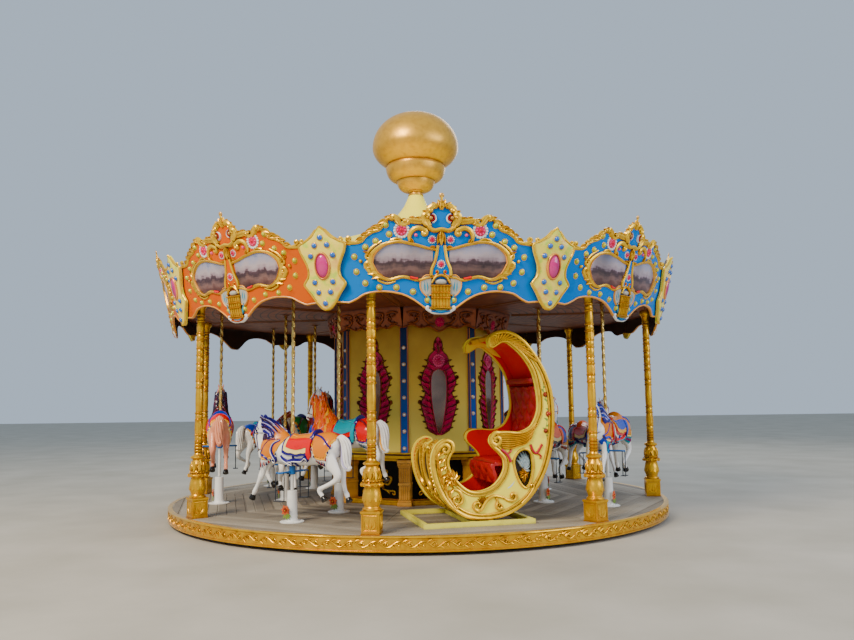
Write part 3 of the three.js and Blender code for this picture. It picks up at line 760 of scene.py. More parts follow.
def painted_landscape():
    """Oil colours on a primed board: a mauve-grey sky over far hills, a lake and a brown bank."""
    material, tree = new_material("oil_colours", 0.38, coat=0.25)
    across, along, height = (node(tree, "SeparateXYZ", {"Vector": place(tree)}, output=axis)
                             for axis in "XYZ")
    level = remap(tree, height, DECK_TOP + 2.62, DECK_TOP + 3.01)
    skyline = node(tree, "CombineXYZ", {"X": across, "Y": along})
    hills = remap(tree, noise(tree, 7.0, 6.0, skyline, 0.62), 0.3, 0.7, 0.10, -0.10)
    strokes = remap(tree, noise(tree, 1.3, 4.0, place(tree, (9.0, 9.0, 34.0))), to_min=-0.11, to_max=0.11)
    shown = worked(tree, "ADD", worked(tree, "ADD", level, hills), strokes)
    tint = tinted(tree, shown, (0.0, "#3C2020"), (0.16, "#603A36"), (0.27, "#7E5C56"), (0.35, "#624848"),
                  (0.42, "#3E2830"), (0.49, "#523A44"), (0.54, "#9C8690"), (0.66, "#B4A4AA"),
                  (0.84, "#9C9CB4"), (1.0, "#707AA0"))
    weather = remap(tree, noise(tree, 1.7, 2.0), 0.38, 0.60, 0.42, 1.0)
    return wired(material, node(tree, "HueSaturation", {"Color": tint, "Value": weather}))


def bulb_glass(name, bright, deep):
    """A lacquered glass bulb cap, unlit: a clear gloss over colour, with painted shade that deepens it
    towards the cap's rim as it turns from view.
    """
    material, tree = new_material(name, 0.12, coat=0.8)
    # Painted shade: the colour darkens where the surface turns away from the view.
    facing = node(tree, "LayerWeight", {"Blend": 0.4}, output="Facing")
    return wired(material, tinted(tree, facing, (0.1, bright), (0.75, deep)))


def board(us, low, high, back, front, lay, finish):
    """A closed board between two edges. finish can be that of its front, top, back and bottom."""
    us = np.asarray(us, float)
    low, high = (np.broadcast_to(np.asarray(edge, float), us.shape) for edge in (low, high))
    ring = [(us, low, front), (us, high, front), (us, high, back), (us, low, back)]
    points = np.stack([lay(u, v, out + 0 * u) for u, v, out in ring], 1)
    finish = (finish,) * 4 if isinstance(finish, int) else finish
    return points, capped(len(us), 4), list(finish) * (len(us) - 1) + [finish[1]] * 2


def rose(u, v, radius, lay, white, outer, inner, eye, petals=8):
    """A painted rosette: a scalloped rim, a disc with a ring of petals on it, and an eye."""
    shells = [dome(u, v, 0.90 * radius, 0.008, lay, white, 16),
              dome(u, v, 0.76 * radius, 0.018, lay, outer, 16)]
    for count, reach, size, rise, finish in ((2 * petals, 0.90, 0.20, 0.011, white),
                                             (petals, 0.50, 0.18, 0.024, inner)):
        for turn in 2 * math.pi * np.arange(count) / count:
            shells.append(dome(u + reach * radius * math.cos(turn), v + reach * radius * math.sin(turn),
                               size * radius, rise, lay, finish, 6))
    return shells + [dome(u, v, 0.30 * radius, 0.026, lay, outer, 10),
                     dome(u, v, 0.16 * radius, 0.033, lay, eye, 7)]


def domes(text, lay, finish, segments):
    """Domes from rows of place, radius and rise."""
    return [dome(*row, lay, finish, segments) for row in mm(text)]


def arc(u, v, wide, high, start=0, end=360, steps=25):
    """Part of an ellipse, between two angles in degrees."""
    turns = np.radians(np.linspace(start, end, steps))
    return np.stack([u + wide * np.cos(turns), v + high * np.sin(turns)], -1)


def mirrored(lay):
    """The same surface with left and right exchanged."""
    return lambda u, v, h: lay(-u, v, h)


on_cornice = round_face(CORNICE_FOOT_RADIUS + BOARD_FACE, ARC_RADIUS, DECK_TOP, CORNICE_LEAN, CORNICE_FOOT)


def half_panel(lay):
    """The carving on one half of a board."""
    top, foot = smooth(TOP_EDGE[5:], 3), smooth(BOTTOM_EDGE, 3)
    us = np.concatenate([np.linspace(0.085, 0.66, 14), 0.723 - 0.06 * np.linspace(0.9, 0, 5) ** 2])
    high, low = smooth(WINDOW_TOP, 8).T, smooth(WINDOW_FOOT, 8).T
    line = np.vstack([smooth(WINDOW_TOP, 4), smooth(WINDOW_FOOT[::-1], 4)[1:]])
    swell = np.interp(line[:, 0], [0.05, 0.2, 0.55, 0.66, 0.725], [0.014, 0.017, 0.020, 0.030, 0.038])
    shells = [ridge(foot + (0, 0.007), 0.010, 0.013, lay, EDGE),
              ridge(top - (0, 0.014), 0.020, 0.018, lay, GOLD),
              board(us, np.interp(us, *low), np.interp(us, *high), -0.002, 0.004, lay, PICTURE),
              ridge(line * [1.01, 1.0], swell, 0.024, lay, GOLD),
              ridge(line * [0.968, 1.0], 0.006, 0.026, lay, EDGE)]
    shells += scrolls(PANEL_SCROLLS, lay, GOLD)
    shells += ridges("24 26 165 3215 240 3222 313 3228 376 3210", lay, GOLD)
    shells += ridges("19 30 238 2628 275 2634 318 2646", lay, RED)
    shells.append(ridge(arc(0.095, 3.240, 0.042, 0.042, 95, 265, 12), 0.008, 0.024, lay, WHITE))
    shells += ridges("32 28 120 3160 148 3240 125 3325 65 3372", lay, GOLD)
    shells.append(ridge(arc(0.100, 3.240, 0.030, 0.030, 80, 280, 12), 0.006, 0.026, lay, RED))
    shells += domes("106 3240 26 42", lay, KNOB, 10) + domes("255 3075 18 22", lay, PINK, 7)
    shells += domes("826 2824 20 30", lay, GOLD, 8) + leaves(PANEL_LEAVES, lay, GOLD, 0.030, bow=0.12)
    for u, v in BULBS:
        shells += [dome(u, v, 0.036, 0.007, lay, GOLD, 10), dome(u, v, 0.028, 0.030, lay, BULB, 10)]
    shells += rose(0.397, 3.123, 0.077, lay, WHITE, MAGENTA, PINK, RED)
    shells += rose(0.093, 3.027, 0.040, lay, WHITE, MAGENTA, PINK, RED, 6)
    vase = smooth(mm("34 2965, 46 2880, 64 2800, 96 2725, 102 2660"), 4)
    shells.append(ridge(vase, 0.019, 0.034, lay, GOLD))
    shells += scrolls("-900 18 24 30 100 2665 60 2662 30 2690", lay, GOLD)
    shells.append(dome(0.046, 2.700, 0.014, 0.034, lay, RED, 7))
    shells.append(board(*zip(*mm("100 2475 2650, 135 2455 2670, 175 2480 2650, 210 2530 2610")), 0.0, 0.012,
                        lay, SILVER))
    handle = smooth(mm("100 2470, 150 2456, 205 2520, 212 2600, 165 2662, 100 2668"), 4)
    shells.append(ridge(handle, 0.009, 0.020, lay, EDGE))
    shells += leaves("150 2490 160 2645 60", lay, TEAL, 0.020)
    return shells + scrolls("1000 14 34 24 0 2278 80 2288 145 2325", lay, WHITE)


def cornice_panel():
    """A whole board, at the front."""
    us = np.unique(np.concatenate([[p[0] for p in TOP_EDGE + BOTTOM_EDGE],
                                   np.linspace(0, PANEL_HALF_WIDTH, 30)]))
    us = np.concatenate([-us[:0:-1], us])
    low, high = (np.interp(abs(us), *smooth(edge, 4).T) for edge in (BOTTOM_EDGE, TOP_EDGE))
    shells = [board(us, low, high, BOARD_BACK - BOARD_FACE, 0.0, on_cornice, (GROUND, GOLD, BACK, EDGE))]
    shells += half_panel(on_cornice) + half_panel(mirrored(on_cornice))
    width = np.array([-1, -0.5, 0, 0.5, 1])
    vase = mm("2965 26, 2880 40, 2800 58, 2725 90, 2660 98")
    for (z1, w1), (z0, w0) in zip(vase, vase[1:]):
        shells.append(board(width * (w0 + w1) / 2, z0, z1, 0.0, 0.016, on_cornice, GROUND))
    shells += rose(0, 2.777, 0.042, lambda u, v, h: on_cornice(u, v, h + 0.014), WHITE, MAGENTA, PINK, RED, 6)
    shells.append(board(width * 0.098, 2.33, 2.565, 0.0, 0.026, on_cornice, GOLD))
    shells += ridges(", ".join(f"10 34 {u} 2345 {u} 2440 {u} 2550" for u in (-85, -50, -17, 17, 50, 85)),
                     on_cornice, GOLD)
    shells += ridges(", ".join(f"12 44 -{half} {z} 0 {z} {half} {z}" for z, half in (
        (2335, 112), (2435, 100), (2490, 100), (2560, 108))), on_cornice, GOLD)
    shells.append(board(width * 0.140, width * width * 0.14 + 2.278, width * width * 0.16 + 2.318, 0.0, 0.020,
                        on_cornice, TEAL))
    shells += ridges("13 34 -110 2328 0 2316 110 2328", on_cornice, GOLD)
    swag = smooth(mm("-95 2585, -60 2645, 0 2668, 60 2645, 95 2585"), 4)
    shells.append(ridge(swag, 0.015, 0.034, on_cornice, GOLD))
    shells.append(dome(0, 2.597, 0.068, 0.038, on_cornice, SILVER, 12, stretch=0.5))
    swag = smooth(mm("-140 3150, -70 3118, 0 3130, 70 3118, 140 3150"), 4)
    shells.append(ridge(swag, 0.024, 0.034, on_cornice, GOLD))
    shells += leaves("0 3325 0 3440 70, 0 3110 0 2955 70, -14 3100 -42 2965 44, 14 3100 42 2965 44",
                     on_cornice, GOLD, 0.030)
    shells += ridges("14 16 0 3400 0 3430 0 3460", on_cornice, GOLD)
    shells += domes("0 3470 27 16", on_cornice, KNOB, 10)
    shells.append(ridge(smooth(mm("-100 2300, 0 2285, 100 2300"), 4), 0.010, 0.030, on_cornice, GROUND))
    return shells


carving_gold = gold_paint("carving_gold_paint", "#FACC24", "#D6980A", "#5E3406", 0.3, 0.62)
pink_enamel = enamel("pink_enamel", "#FF5C98", "#C42C66", 0.3)
silver_blue = enamel("silver_blue_enamel", "#C3D4DA", "#7E9AA6", 0.22)
ornament_finishes = [
    carving_gold, enamel("edge_orange_gold_enamel", "#F2A640", "#B86A1C", 0.32), painted_landscape(),
    bulb_glass("yellow_green_bulb_glass", "#D6D41C", "#6E7C0A"),
    enamel("magenta_enamel", "#DC0048", "#8C0430", 0.3),
    pink_enamel, white_enamel, enamel("silver_grey_enamel", "#B4B2A6", "#7A766A", 0.25),
    enamel("signal_red_enamel", "#E8160A", "#960C06", 0.25),
    enamel("raw_glass_fibre_laminate", "#3C2A20", "#1E140F", 0.6, 0.0),
    enamel("teal_enamel", "#2C93B0", "#155468", 0.25),
    gold_paint("worn_knob_gold_paint", "#D0A050", "#A87434", "#5A3412", 0.34, 0.4)]
panel_shells = cornice_panel()
panel_meshes = [joined_mesh("cornice_board", panel_shells, [enamel(name, bright, deep, 0.32, 0.0, 0.08)]
                            + ornament_finishes, share=0.6)
                for name, bright, deep in (("cornice_blue_enamel", "#0076CC", "#005294"),
                                           ("cornice_orange_enamel", "#D25A00", "#A44200"))]
for number in range(1, PANELS + 1):
    is_orange = number in ORANGE_PANELS
    put(f"cornice_board_{number}", panel_meshes[is_orange],
        turn=CORNICE_PHASE + 360 / PANELS * (number - 1), replaced=[f"cornice_panel_{number}"], baked=True)

# The shields: cream glass-fibre escutcheons that cover the joints between the boards, crowned in
# the middle, with a gilt edge, ten domed blue bulbs and an oval glass jewel in a gilt setting. The
# rows give height above the deck and half width.
SHIELD_ROWS = mm("""2335 30, 2355 62, 2420 118, 2500 168, 2575 225, 2605 240, 2635 222, 2680 186, 2740 176,
    2800 186, 2870 216, 2930 243, 2985 258, 3015 258, 3040 205, 3090 112, 3150 60, 3190 18""")
SHIELD_BACK = 0.0145
SHIELD_FRONT = 0.036
SHIELD_CROWN = 0.022
SHIELD_DOMES = mm("0 3075, 68 2997, 120 2892, 100 2620, 66 2516, 0 2400")
JEWEL_HEIGHT = 2.785
GREEN_JEWELS = (3, 7)


def crazed_cream():
    """Hand-sponged cream enamel: yellow-green and pinkish clouds a hand wide, finely crazed."""
    material, tree = new_material("sponged_cream_enamel", 0.3, coat=0.3)
    tint = tinted(tree, noise(tree, 9.0, 3.0), (0.34, "#C6DC3E"), (0.46, "#F8E446"), (0.58, "#FCE258"),
                  (0.7, "#F6C25C"))
    cells = node(tree, "TexVoronoi", {"Vector": place(tree), "Scale": 38.0}, feature="DISTANCE_TO_EDGE")
    return wired(material, tint, remap(tree, cells, from_max=0.06), 0.25, 0.001)


def on_shield(u, v, h):
    """A point out from the crowned face."""
    share = np.clip(u / np.interp(v, *np.array(SHIELD_ROWS).T), -1, 1)
    return on_cornice(u, v, SHIELD_FRONT + SHIELD_CROWN * (1 - share ** 2) + h)


def cornice_shield():
    """A shield at the front."""
    across = np.linspace(-1, 1, 11)
    rings = []
    for v, half in SHIELD_ROWS:
        face = on_shield(across * half, np.full(11, v), np.zeros(11))
        rings.append(np.vstack([face, on_cornice(across[::-5] * half, np.full(3, v),
                                                 np.full(3, SHIELD_BACK))]))
    shells = [(np.vstack(rings), capped(len(rings), 14), 0)]
    edge = np.array(SHIELD_ROWS)[:, ::-1] - (0.010, 0)
    edge[[0, -1], 0] = 0.0
    line = smooth(edge, 2)
    for lay in (on_shield, mirrored(on_shield)):
        shells.append(ridge(line, 0.012, np.interp(line[:, 1], [3.08, 3.17], [0.012, 0.004]), lay, 1))
        shells += scrolls("1100 22 30 12 50 3165 120 3085 200 3035", lay, 1)
        for u, v in SHIELD_DOMES:
            if u or lay is on_shield:
                shells += [dome(u, v, 0.036, 0.006, lay, 1, 12), dome(u, v, 0.030, 0.028, lay, 2, 12)]
    shells.append(ridge(arc(0, JEWEL_HEIGHT, 0.076, 0.132), 0.013, 0.020, on_shield, 3))
    shells.append(dome(0, JEWEL_HEIGHT, 0.070, 0.032, on_shield, 4, 20, stretch=1.8))
    return shells


shield_finishes = [crazed_cream(), carving_gold, bulb_glass("royal_blue_bulb_glass", "#1B6CCB", "#06307A"),
                   gold_paint("orange_gold_paint", "#F3A64E", "#CF6E2A", "#7A2E10", 0.3, 0.3)]
shield_shells = cornice_shield()
jewel_meshes = [joined_mesh("cornice_escutcheon", shield_shells, shield_finishes + [bulb_glass(*jewel)],
                            crease=60)
                for jewel in (("magenta_jewel_glass", "#D2247F", "#7A0A4A"),
                              ("green_jewel_glass", "#3E8E3A", "#123F12"))]
for number in range(1, PANELS + 1):
    put(f"cornice_escutcheon_{number}", jewel_meshes[number in GREEN_JEWELS],
        turn=CORNICE_PHASE + 360 / PANELS * (number - 0.5), replaced=[f"cornice_shield_{number}"], baked=True)

# The ceiling stays as the solid holds it: tongued boards, stained red-brown and varnished, nailed
# up in rings. Brown battens cover the joints over the columns, and flanged collars line the holes
# that the poles run through.
CEILING_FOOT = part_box("ceiling")[0].z
CEILING_BOARD = 0.11
VALANCE_CORNER = 1.40
COLLAR = mm("34 0, 50 0, 56 8, 85 10, 85 15.5, 34 15.5")


def varnished_boards():
    """Stained softwood under varnish: warm red-brown, with the dark joints of boards in rings."""
    material, tree = new_material("varnished_stained_boards", 0.6, coat=0.05)
    waves = node(tree, "TexWave", {"Vector": place(tree), "Scale": math.pi / (10 * CEILING_BOARD),
                                   "Distortion": 0.0}, output="Fac", wave_type="RINGS", rings_direction="Z")
    joints = remap(tree, waves, from_max=0.12)
    tint = tinted(tree, noise(tree, 6.0, 7.0), (0.3, "#5A260C"), (0.55, "#823C14"), (0.75, "#A05A20"))
    dark = node(tree, "Mix", {0: joints, 6: srgb("#1E0C06"), 7: tint}, output=2, data_type="RGBA")
    return wired(material, dark, joints, 0.6, 0.004)


def ceiling_trim():
    """The battens over the columns and the collars of the poles."""

    def under(u, v, h):
        return np.stack([u, -v, CEILING_FOOT - 0.0003 - h], -1)

    battens = [ridge([(u, VALANCE_CORNER + 0.01), (u, 2.3), (u, 3.22)], half, rise, under)
               for u, half, rise in ((0, 0.045, 0.010), (-0.042, 0.012, 0.016), (0.042, 0.012, 0.016))]
    shells = []
    for i in range(BAYS):
        shells += moved(battens, turn=BAY * i)
    collar = lathe([(radius, CEILING_FOOT - 0.016 + rise) for radius, rise in COLLAR], 18)
    for bay in HORSE_BAYS:
        for radius in (OUTER_ROW, INNER_ROW):
            shells += moved(moved([collar], (0, -radius, 0)), turn=bay_angle(bay) - COLUMN_PHASE)
    return joined_mesh("ceiling_trim", shells, [enamel("batten_brown_enamel", "#7A4420", "#3A1A0C", 0.4)])


repaint("ceiling", varnished_boards())
put("ceiling_trim", ceiling_trim(), turn=COLUMN_PHASE, baked=True)

# The housing round the drive: eight sides of olive-enamelled sheet on a steel frame. Each has a
# mirror in a carved magenta and gilt surround, under a carved valance. Strips of lamps cover the
# corners. Below a gilt rail, black panels with gilt scrolls are set back between pilasters. The
# surround's and the mirror's tables give height above the ground and half width.
RAIL_FOOT = DECK_TOP + 0.60
RAIL_TOP = DECK_TOP + 0.69
VALANCE_FOOT = DECK_TOP + 2.30
VALANCE_LEAN = 0.202
HALF_SIDE = math.sin(math.radians(22.5))
FLAT = math.cos(math.radians(22.5))
WALL_CORNER = 1.24
SURROUND = mm("""1110 30, 1170 140, 1260 175, 1340 200, 1420 225, 1500 245, 1570 235, 1630 195, 1690 190,
    1750 225, 1830 245, 1900 225, 1980 195, 2050 150, 2130 140, 2190 110, 2240 58, 2320 60, 2380 40,
    2425 8""")
MIRROR = mm("1130 20, 1200 42, 1350 74, 1500 98, 1680 112, 1840 112, 1930 94, 1975 58, 1992 12")
LAMP_FOOT = 0.944
LAMP_PITCH = 0.2227
LAMPS = 7


def tinted_mirror():
    """Silvered glass with a grey-brown tint and some haze."""
    material, tree = new_material("tinted_mirror_glass", 0.12, metallic=0.9)
    haze = noise(tree, 4.0, 4.0)
    tint = tinted(tree, haze, (0.3, "#7C6458"), (0.7, "#A08676"))
    return wired(material, tint, roughness=remap(tree, haze, to_min=0.06, to_max=0.3))


def shade_graded_enamel(name, low, middle, high):
    """Enamel on tall sheets: bright near the deck, with painted shade that darkens and browns it higher up,
    under the roof.
    """
    material, tree = new_material(name, 0.4, shine=0.2)
    height = node(tree, "SeparateXYZ", {"Vector": place(tree)}, output="Z")
    drift = remap(tree, noise(tree, 3.0, 5.0), to_min=-0.16, to_max=0.16)
    # Painted shade: the colour darkens and browns with height towards the roof, with a little random drift.
    mixed = worked(tree, "ADD", remap(tree, height, RAIL_TOP, VALANCE_FOOT + 0.15), drift)
    return wired(material, tinted(tree, mixed, (0.05, low), (0.5, middle), (0.98, high)))


def on_side(distance, lean=0.0, foot=0.0):
    """The surface of one side at a distance from the axis, leaning outwards above foot."""
    return lambda u, v, h: np.stack([u, -(distance + lean * (v - foot) + h), v], -1)


def sideways(rows, front, lay, finish):
    """A board from rows of height and half width."""
    heights, halves = smooth(rows, 2).T
    return board(heights, -halves, halves, 0.0, front, lambda u, v, h: lay(v, u, h), finish)


OLIVE, GILT, ROSE, GLASS, LAMP_BLUE, LAMP, CARVED, PINKISH, BLACK, FRAME, PILLAR = range(11)
housing_finishes = [
    shade_graded_enamel("olive_yellow_enamel", "#F8EC70", "#F2D44E", "#A87C28"), carving_gold,
    enamel("rose_magenta_enamel", "#D40458", "#7C0430", 0.34), tinted_mirror(),
    shade_graded_enamel("lamp_strip_blue_enamel", "#0A60D0", "#0A4490", "#081C48"),
    bulb_glass("opal_bulb_glass", "#F4F4EE", "#B9C2CC"),
    # Brown-gold carving, painted a darker brown that stands for the shade under the roof.
    gold_paint("shade_darkened_carving_brown", "#A4521C", "#682A0E", "#240B04", 0.42, 0.2), pink_enamel,
    enamel("satin_black_enamel", "#0C0A09", "#040303", 0.45, 0.0, 0.12),
    enamel("frame_orange_enamel", "#C87A24", "#7A4410", 0.4),
    # Orange gold for the pilasters, made paler than the carving gold as painted light against the shade under
    # the roof.
    gold_paint("lightened_pilaster_gold_paint", "#FFC04C", "#E09A34", "#8A5014", 0.36, 0.25)]


def housing_side():
    """The olive side with its mirror, and the valance over it, at the front."""
    face = on_side(WALL_CORNER * FLAT)
    half = WALL_CORNER * HALF_SIDE
    surround = smooth(SURROUND, 2)
    shells = [board(np.array([-half, -half / 2, 0, half / 2, half]) * 0.998, RAIL_TOP + 0.001, 2.62, -0.03,
                    0.0, face, OLIVE),
              sideways(SURROUND, 0.012, face, ROSE), sideways(MIRROR, 0.018, face, GLASS)]
    valance = on_side(1.33 * FLAT, VALANCE_LEAN, VALANCE_FOOT)
    us = np.linspace(-1, 1, 25)
    droop = (VALANCE_FOOT + 0.055 - 0.05 * np.cos(us * math.pi) ** 2 * (abs(us) < 0.5)
             - 0.02 * np.cos(us * math.pi * 4))
    us = us * (1.33 - 0.004) * HALF_SIDE
    shells.append(board(us, droop, CEILING_FOOT - 0.001, -0.04, -0.003, valance, CARVED))
    shells.append(ridge(np.stack([us, droop + 0.010], -1), 0.010, 0.010, valance, CARVED))
    pane = smooth(MIRROR, 2)[:, ::-1]
    for lay, side_lay in ((face, valance), (mirrored(face), mirrored(valance))):
        shells += [ridge(surround[:, ::-1], 0.008, 0.018, lay, CARVED), ridge(pane, 0.012, 0.030, lay, ROSE),
                   ridge(pane * [1.12, 1.0], 0.004, 0.034, lay, GILT),
                   ridge([(0.420, RAIL_TOP + 0.002), (0.420, 1.7), (0.420, 2.55)], 0.009, 0.014, lay, FRAME)]
        for k, height in enumerate(np.arange(1.16, 2.14, 0.082)):
            half = np.interp(height + 0.03, *np.array(SURROUND).T)
            pane_half = np.interp(height, *np.array(MIRROR).T) if height < 1.99 else 0.05
            root, tip = np.array([pane_half + 0.012, height - 0.02]), np.array([half + 0.014, height + 0.050])
            shells += [leaf(root, tip, 0.078, 0.030, lay, ROSE, bow=0.25),
                       ridge([root, 0.5 * (root + tip) + (0.004, -0.008), tip], 0.0035, 0.034, lay,
                             GILT if k % 2 else CARVED),
                       leaf(tip - (0.014, 0.010), tip + (0.040, 0.006 * (k % 3)), 0.026, 0.022, lay, CARVED)]
            if k in (4, 8):
                shells.append(scroll([root + (0.04, 0.0), tip - (0.01, 0.02), tip + (0.02, 0.01)], 1.0, 0.020,
                                     0.022, 0.030, lay, CARVED))
        shells += leaves("10 2210 55 2320, 0 2300 35 2410", lay, ROSE, 0.028, 0.040)
        shells += leaves("30 2250 82 2270, 20 2350 60 2370", lay, CARVED, 0.028, 0.040)
        shells += scrolls("""1100 34 30 20 70 2585 150 2600 220 2660,
            -1100 34 30 20 440 2600 360 2600 300 2640, -1000 26 30 20 30 2730 120 2755 220 2740,
            1000 26 30 20 460 2740 380 2755 300 2740""", side_lay, CARVED)
        shells += leaves("""100 2600 180 2575, 400 2620 330 2585, 100 2700 170 2665, 420 2720 360 2690,
            240 2580 260 2530""", side_lay, CARVED, 0.020, 0.034)
    shells += rose(0, 2.105, 0.082, on_side(WALL_CORNER * FLAT + 0.020), PINKISH, ROSE, PINKISH, ROSE)
    shells += rose(0, 2.62, 0.062, valance, ROSE, ROSE, ROSE, CARVED, 7)
    shells += leaves("0 2190 0 2390 50", face, CARVED, 0.026)
    return joined_mesh("housing_side", shells, housing_finishes, share=0.72)


def housing_base():
    """The recessed black panel with its kerb, rail and scrolls, at the front."""
    floor = DECK_TOP + 0.0005
    recess = on_side(1.13 * FLAT)
    shells = [board([-0.43, 0, 0.43], floor, RAIL_FOOT + 0.005, -0.02, 0.0, recess, BLACK)]
    for corner, low, high, finish in (
        (1.27, floor, DECK_TOP + 0.035, GILT), (1.255, DECK_TOP + 0.034, DECK_TOP + 0.058, GILT),
        (1.29, RAIL_FOOT - 0.02, RAIL_FOOT + 0.02, GILT), (1.345, RAIL_FOOT + 0.018, RAIL_FOOT + 0.052, GILT),
        (1.32, RAIL_FOOT + 0.050, RAIL_TOP - 0.014, CARVED), (1.335, RAIL_TOP - 0.016, RAIL_TOP, GILT),
    ):
        x, y = corner * HALF_SIDE, -corner * FLAT
        shells.append(plate([(-x, y), (x, y), (x * 0.8, y * 0.8), (-x * 0.8, y * 0.8)], low, high, finish))
    for lay in (recess, mirrored(recess)):
        shells += scrolls("""1000 36 30 20 70 465 150 455 200 520, -1000 30 26 20 50 400 140 372 240 372,
            -900 24 24 20 30 520 60 600 110 640""", lay, GILT)
        shells += leaves("10 420 90 400, 20 490 100 500, 130 370 170 330", lay, GILT, 0.018, 0.040, bow=0.2)
        shells += ridges("8 12 385 262 385 530 385 785", lay, FRAME)
    shells += leaves("0 400 0 700 70", recess, GILT, 0.022)
    shells += ridges("8 12 -385 262 0 262 385 262, 8 12 -385 785 0 785 385 785", recess, FRAME)
    return joined_mesh("housing_base", shells, housing_finishes)


def corner_pilaster():
    """The gilt pilaster under a corner, at the front."""
    steps = mm("""94 1308 0 252, 86 1298 250 276, 74 1284 274 706, 82 1294 470 500, 82 1294 700 722,
        90 1302 720 760, 94 1308 758 795""")
    steps[0][2] = DECK_TOP + 0.0008
    shells = [plate(rect(-half, half, -front, -1.06), low, high, PILLAR) for half, front, low, high in steps]
    for u in (-54, -27, 0, 27, 54):
        shells += ridges(f"9 8 {u} 285 {u} 375 {u} 462, 9 8 {u} 508 {u} 600 {u} 692", on_side(1.284), PILLAR)
    shells += leaves("-60 724 -60 758 50, 0 724 0 758 50, 60 724 60 758 50", on_side(1.302), PILLAR, 0.008,
                     steps=4)
    return joined_mesh("corner_pilaster", shells, housing_finishes)


def lamp_strip():
    """The blue strip with its opal bulbs on a corner of the housing, at the front."""
    face = on_side(1.258)
    shells = [board([-0.056, 0, 0.056], RAIL_TOP + 0.001, VALANCE_FOOT + 0.06, -0.04, 0.0, face, LAMP_BLUE)]
    for u in (-0.050, 0.050):
        shells.append(ridge([(u, RAIL_TOP + 0.002), (u, 1.7), (u, VALANCE_FOOT + 0.05)], 0.006, 0.010, face,
                            FRAME))
    for k in range(LAMPS):
        height = LAMP_FOOT + LAMP_PITCH * k
        shells += [dome(0, height, 0.028, 0.005, face, GILT, 12),
                   dome(0, height, 0.022, 0.026, face, LAMP, 12)]
    return joined_mesh("lamp_strip", shells, housing_finishes)


side_mesh, base_mesh = housing_side(), housing_base()
pilaster_mesh, strip_mesh = corner_pilaster(), lamp_strip()
for bay in range(1, BAYS + 1):
    corner = COLUMN_PHASE + BAY * (bay - 1)
    put(f"housing_side_{bay}", side_mesh, turn=bay_angle(bay), replaced=["housing_upper"])
    put(f"lamp_strip_{bay}", strip_mesh, turn=corner)
    put(f"housing_base_{bay}", base_mesh, turn=bay_angle(bay), replaced=["housing_lower"])
    put(f"corner_pilaster_{bay}", pilaster_mesh, turn=corner)

# The horses: hollow glass-fibre figures laid up in two moulds, one with an arched neck and one with
# its head raised. Each is sprayed in gloss and painted by hand in its own colours. The tack, mane
# and tail are moulded on. The tables give place forward, height above the deck with the crank at
# mid stroke, half depth and half width.
TRUNK = mm("""-625 950 30 30, -600 946 95 85, -545 934 150 128, -450 918 172 150, -330 897 170 150,
    -180 878 165 145, -30 872 162 142, 120 880 166 142, 260 902 172 137, 350 920 156 121, 410 938 108 88,
    440 950 42 40""")
ARCHED_NECK = mm("""150 930 150 105, 235 1010 150 92, 315 1085 128 78, 385 1145 104 66, 440 1185 80 55,
    475 1205 36 34""")
ARCHED_HEAD = mm("""425 1215 40 42, 472 1165 76 57, 497 1090 88 62, 500 1010 73 51, 490 925 54 40,
    476 855 45 35, 466 805 44 38, 461 775 24 24""")
RAISED_NECK = mm("""150 930 150 105, 225 1025 152 92, 280 1125 132 80, 308 1220 112 70, 315 1310 92 60,
    308 1385 70 52, 300 1430 34 34""")
RAISED_HEAD = mm("""270 1428 38 40, 318 1386 75 57, 366 1326 88 62, 404 1256 73 51, 436 1186 54 40,
    462 1126 45 36, 481 1086 44 38, 490 1064 24 24""")
FRONT_REACHING = mm("""262 900 98 60, 310 805 78 54, 348 712 55 44, 377 628 40 36, 394 588 43 39,
    417 548 33 31, 455 480 25 24, 481 434 26 25, 497 404 32 30, 512 376 24 24, 522 356 29 29""")
FRONT_BENT = mm("""292 900 98 60, 358 812 80 54, 414 732 58 45, 455 668 43 38, 469 634 45 40, 462 600 36 33,
    440 560 26 25, 414 525 26 25, 394 503 32 30, 370 487 26 26""")
HIND_TUCKED = mm("""-445 925 140 74, -492 842 120 70, -550 762 88 58, -605 690 60 46, -640 628 47 39,
    -615 575 36 32, -540 530 29 27, -462 492 28 26, -415 465 33 30, -418 436 27 26, -440 408 26 25,
    -458 388 30 29""")
HIND_DRIVING = mm("""-435 925 140 74, -474 842 120 69, -519 762 88 57, -562 690 60 46, -585 640 46 38,
    -591 590 37 33, -600 530 29 27, -612 470 27 25, -628 426 29 27, -641 400 34 31, -651 378 26 25,
    -658 360 30 29""")
SHOULDER = mm("170 1030 50 30, 230 960 90 55, 310 860 70 50, 350 800 30 30")
HAUNCH = mm("-380 1000 50 30, -450 940 100 60, -520 850 80 50, -560 780 30 30")
HOOF_WALL = mm("0 26 26, 200 32 31, 900 41 38, 1000 36 34")
HOOVES = {-1: mm("515 366 541 314, -455 393 -490 348"), 1: mm("380 493 334 461, -652 371 -676 326")}
LEG_OFFSET = 0.085
MOULD_VOXEL = 0.0135
TRUNK_START, TRUNK_END = -0.60, 0.40
OUTER_STRETCH = 1.12


def limb(sections, side=0.0, sides=16):
    """A rounded limb through (forward, height, half depth, half width) sections, at a side offset."""
    rows = smooth(sections, 3)
    run = np.gradient(rows[:, :2], axis=0)
    run /= np.linalg.norm(run, axis=1, keepdims=True)
    turns = np.linspace(0, 2 * math.pi, sides, endpoint=False)
    depth, width = rows[:, 2:3] * np.cos(turns), rows[:, 3:4] * np.sin(turns)
    ring = np.stack([-(rows[:, :1] - run[:, 1:] * depth), side + width, rows[:, 1:2] + run[:, :1] * depth],
                    -1)
    return ring.reshape(-1, 3), capped(len(rows), sides), 0


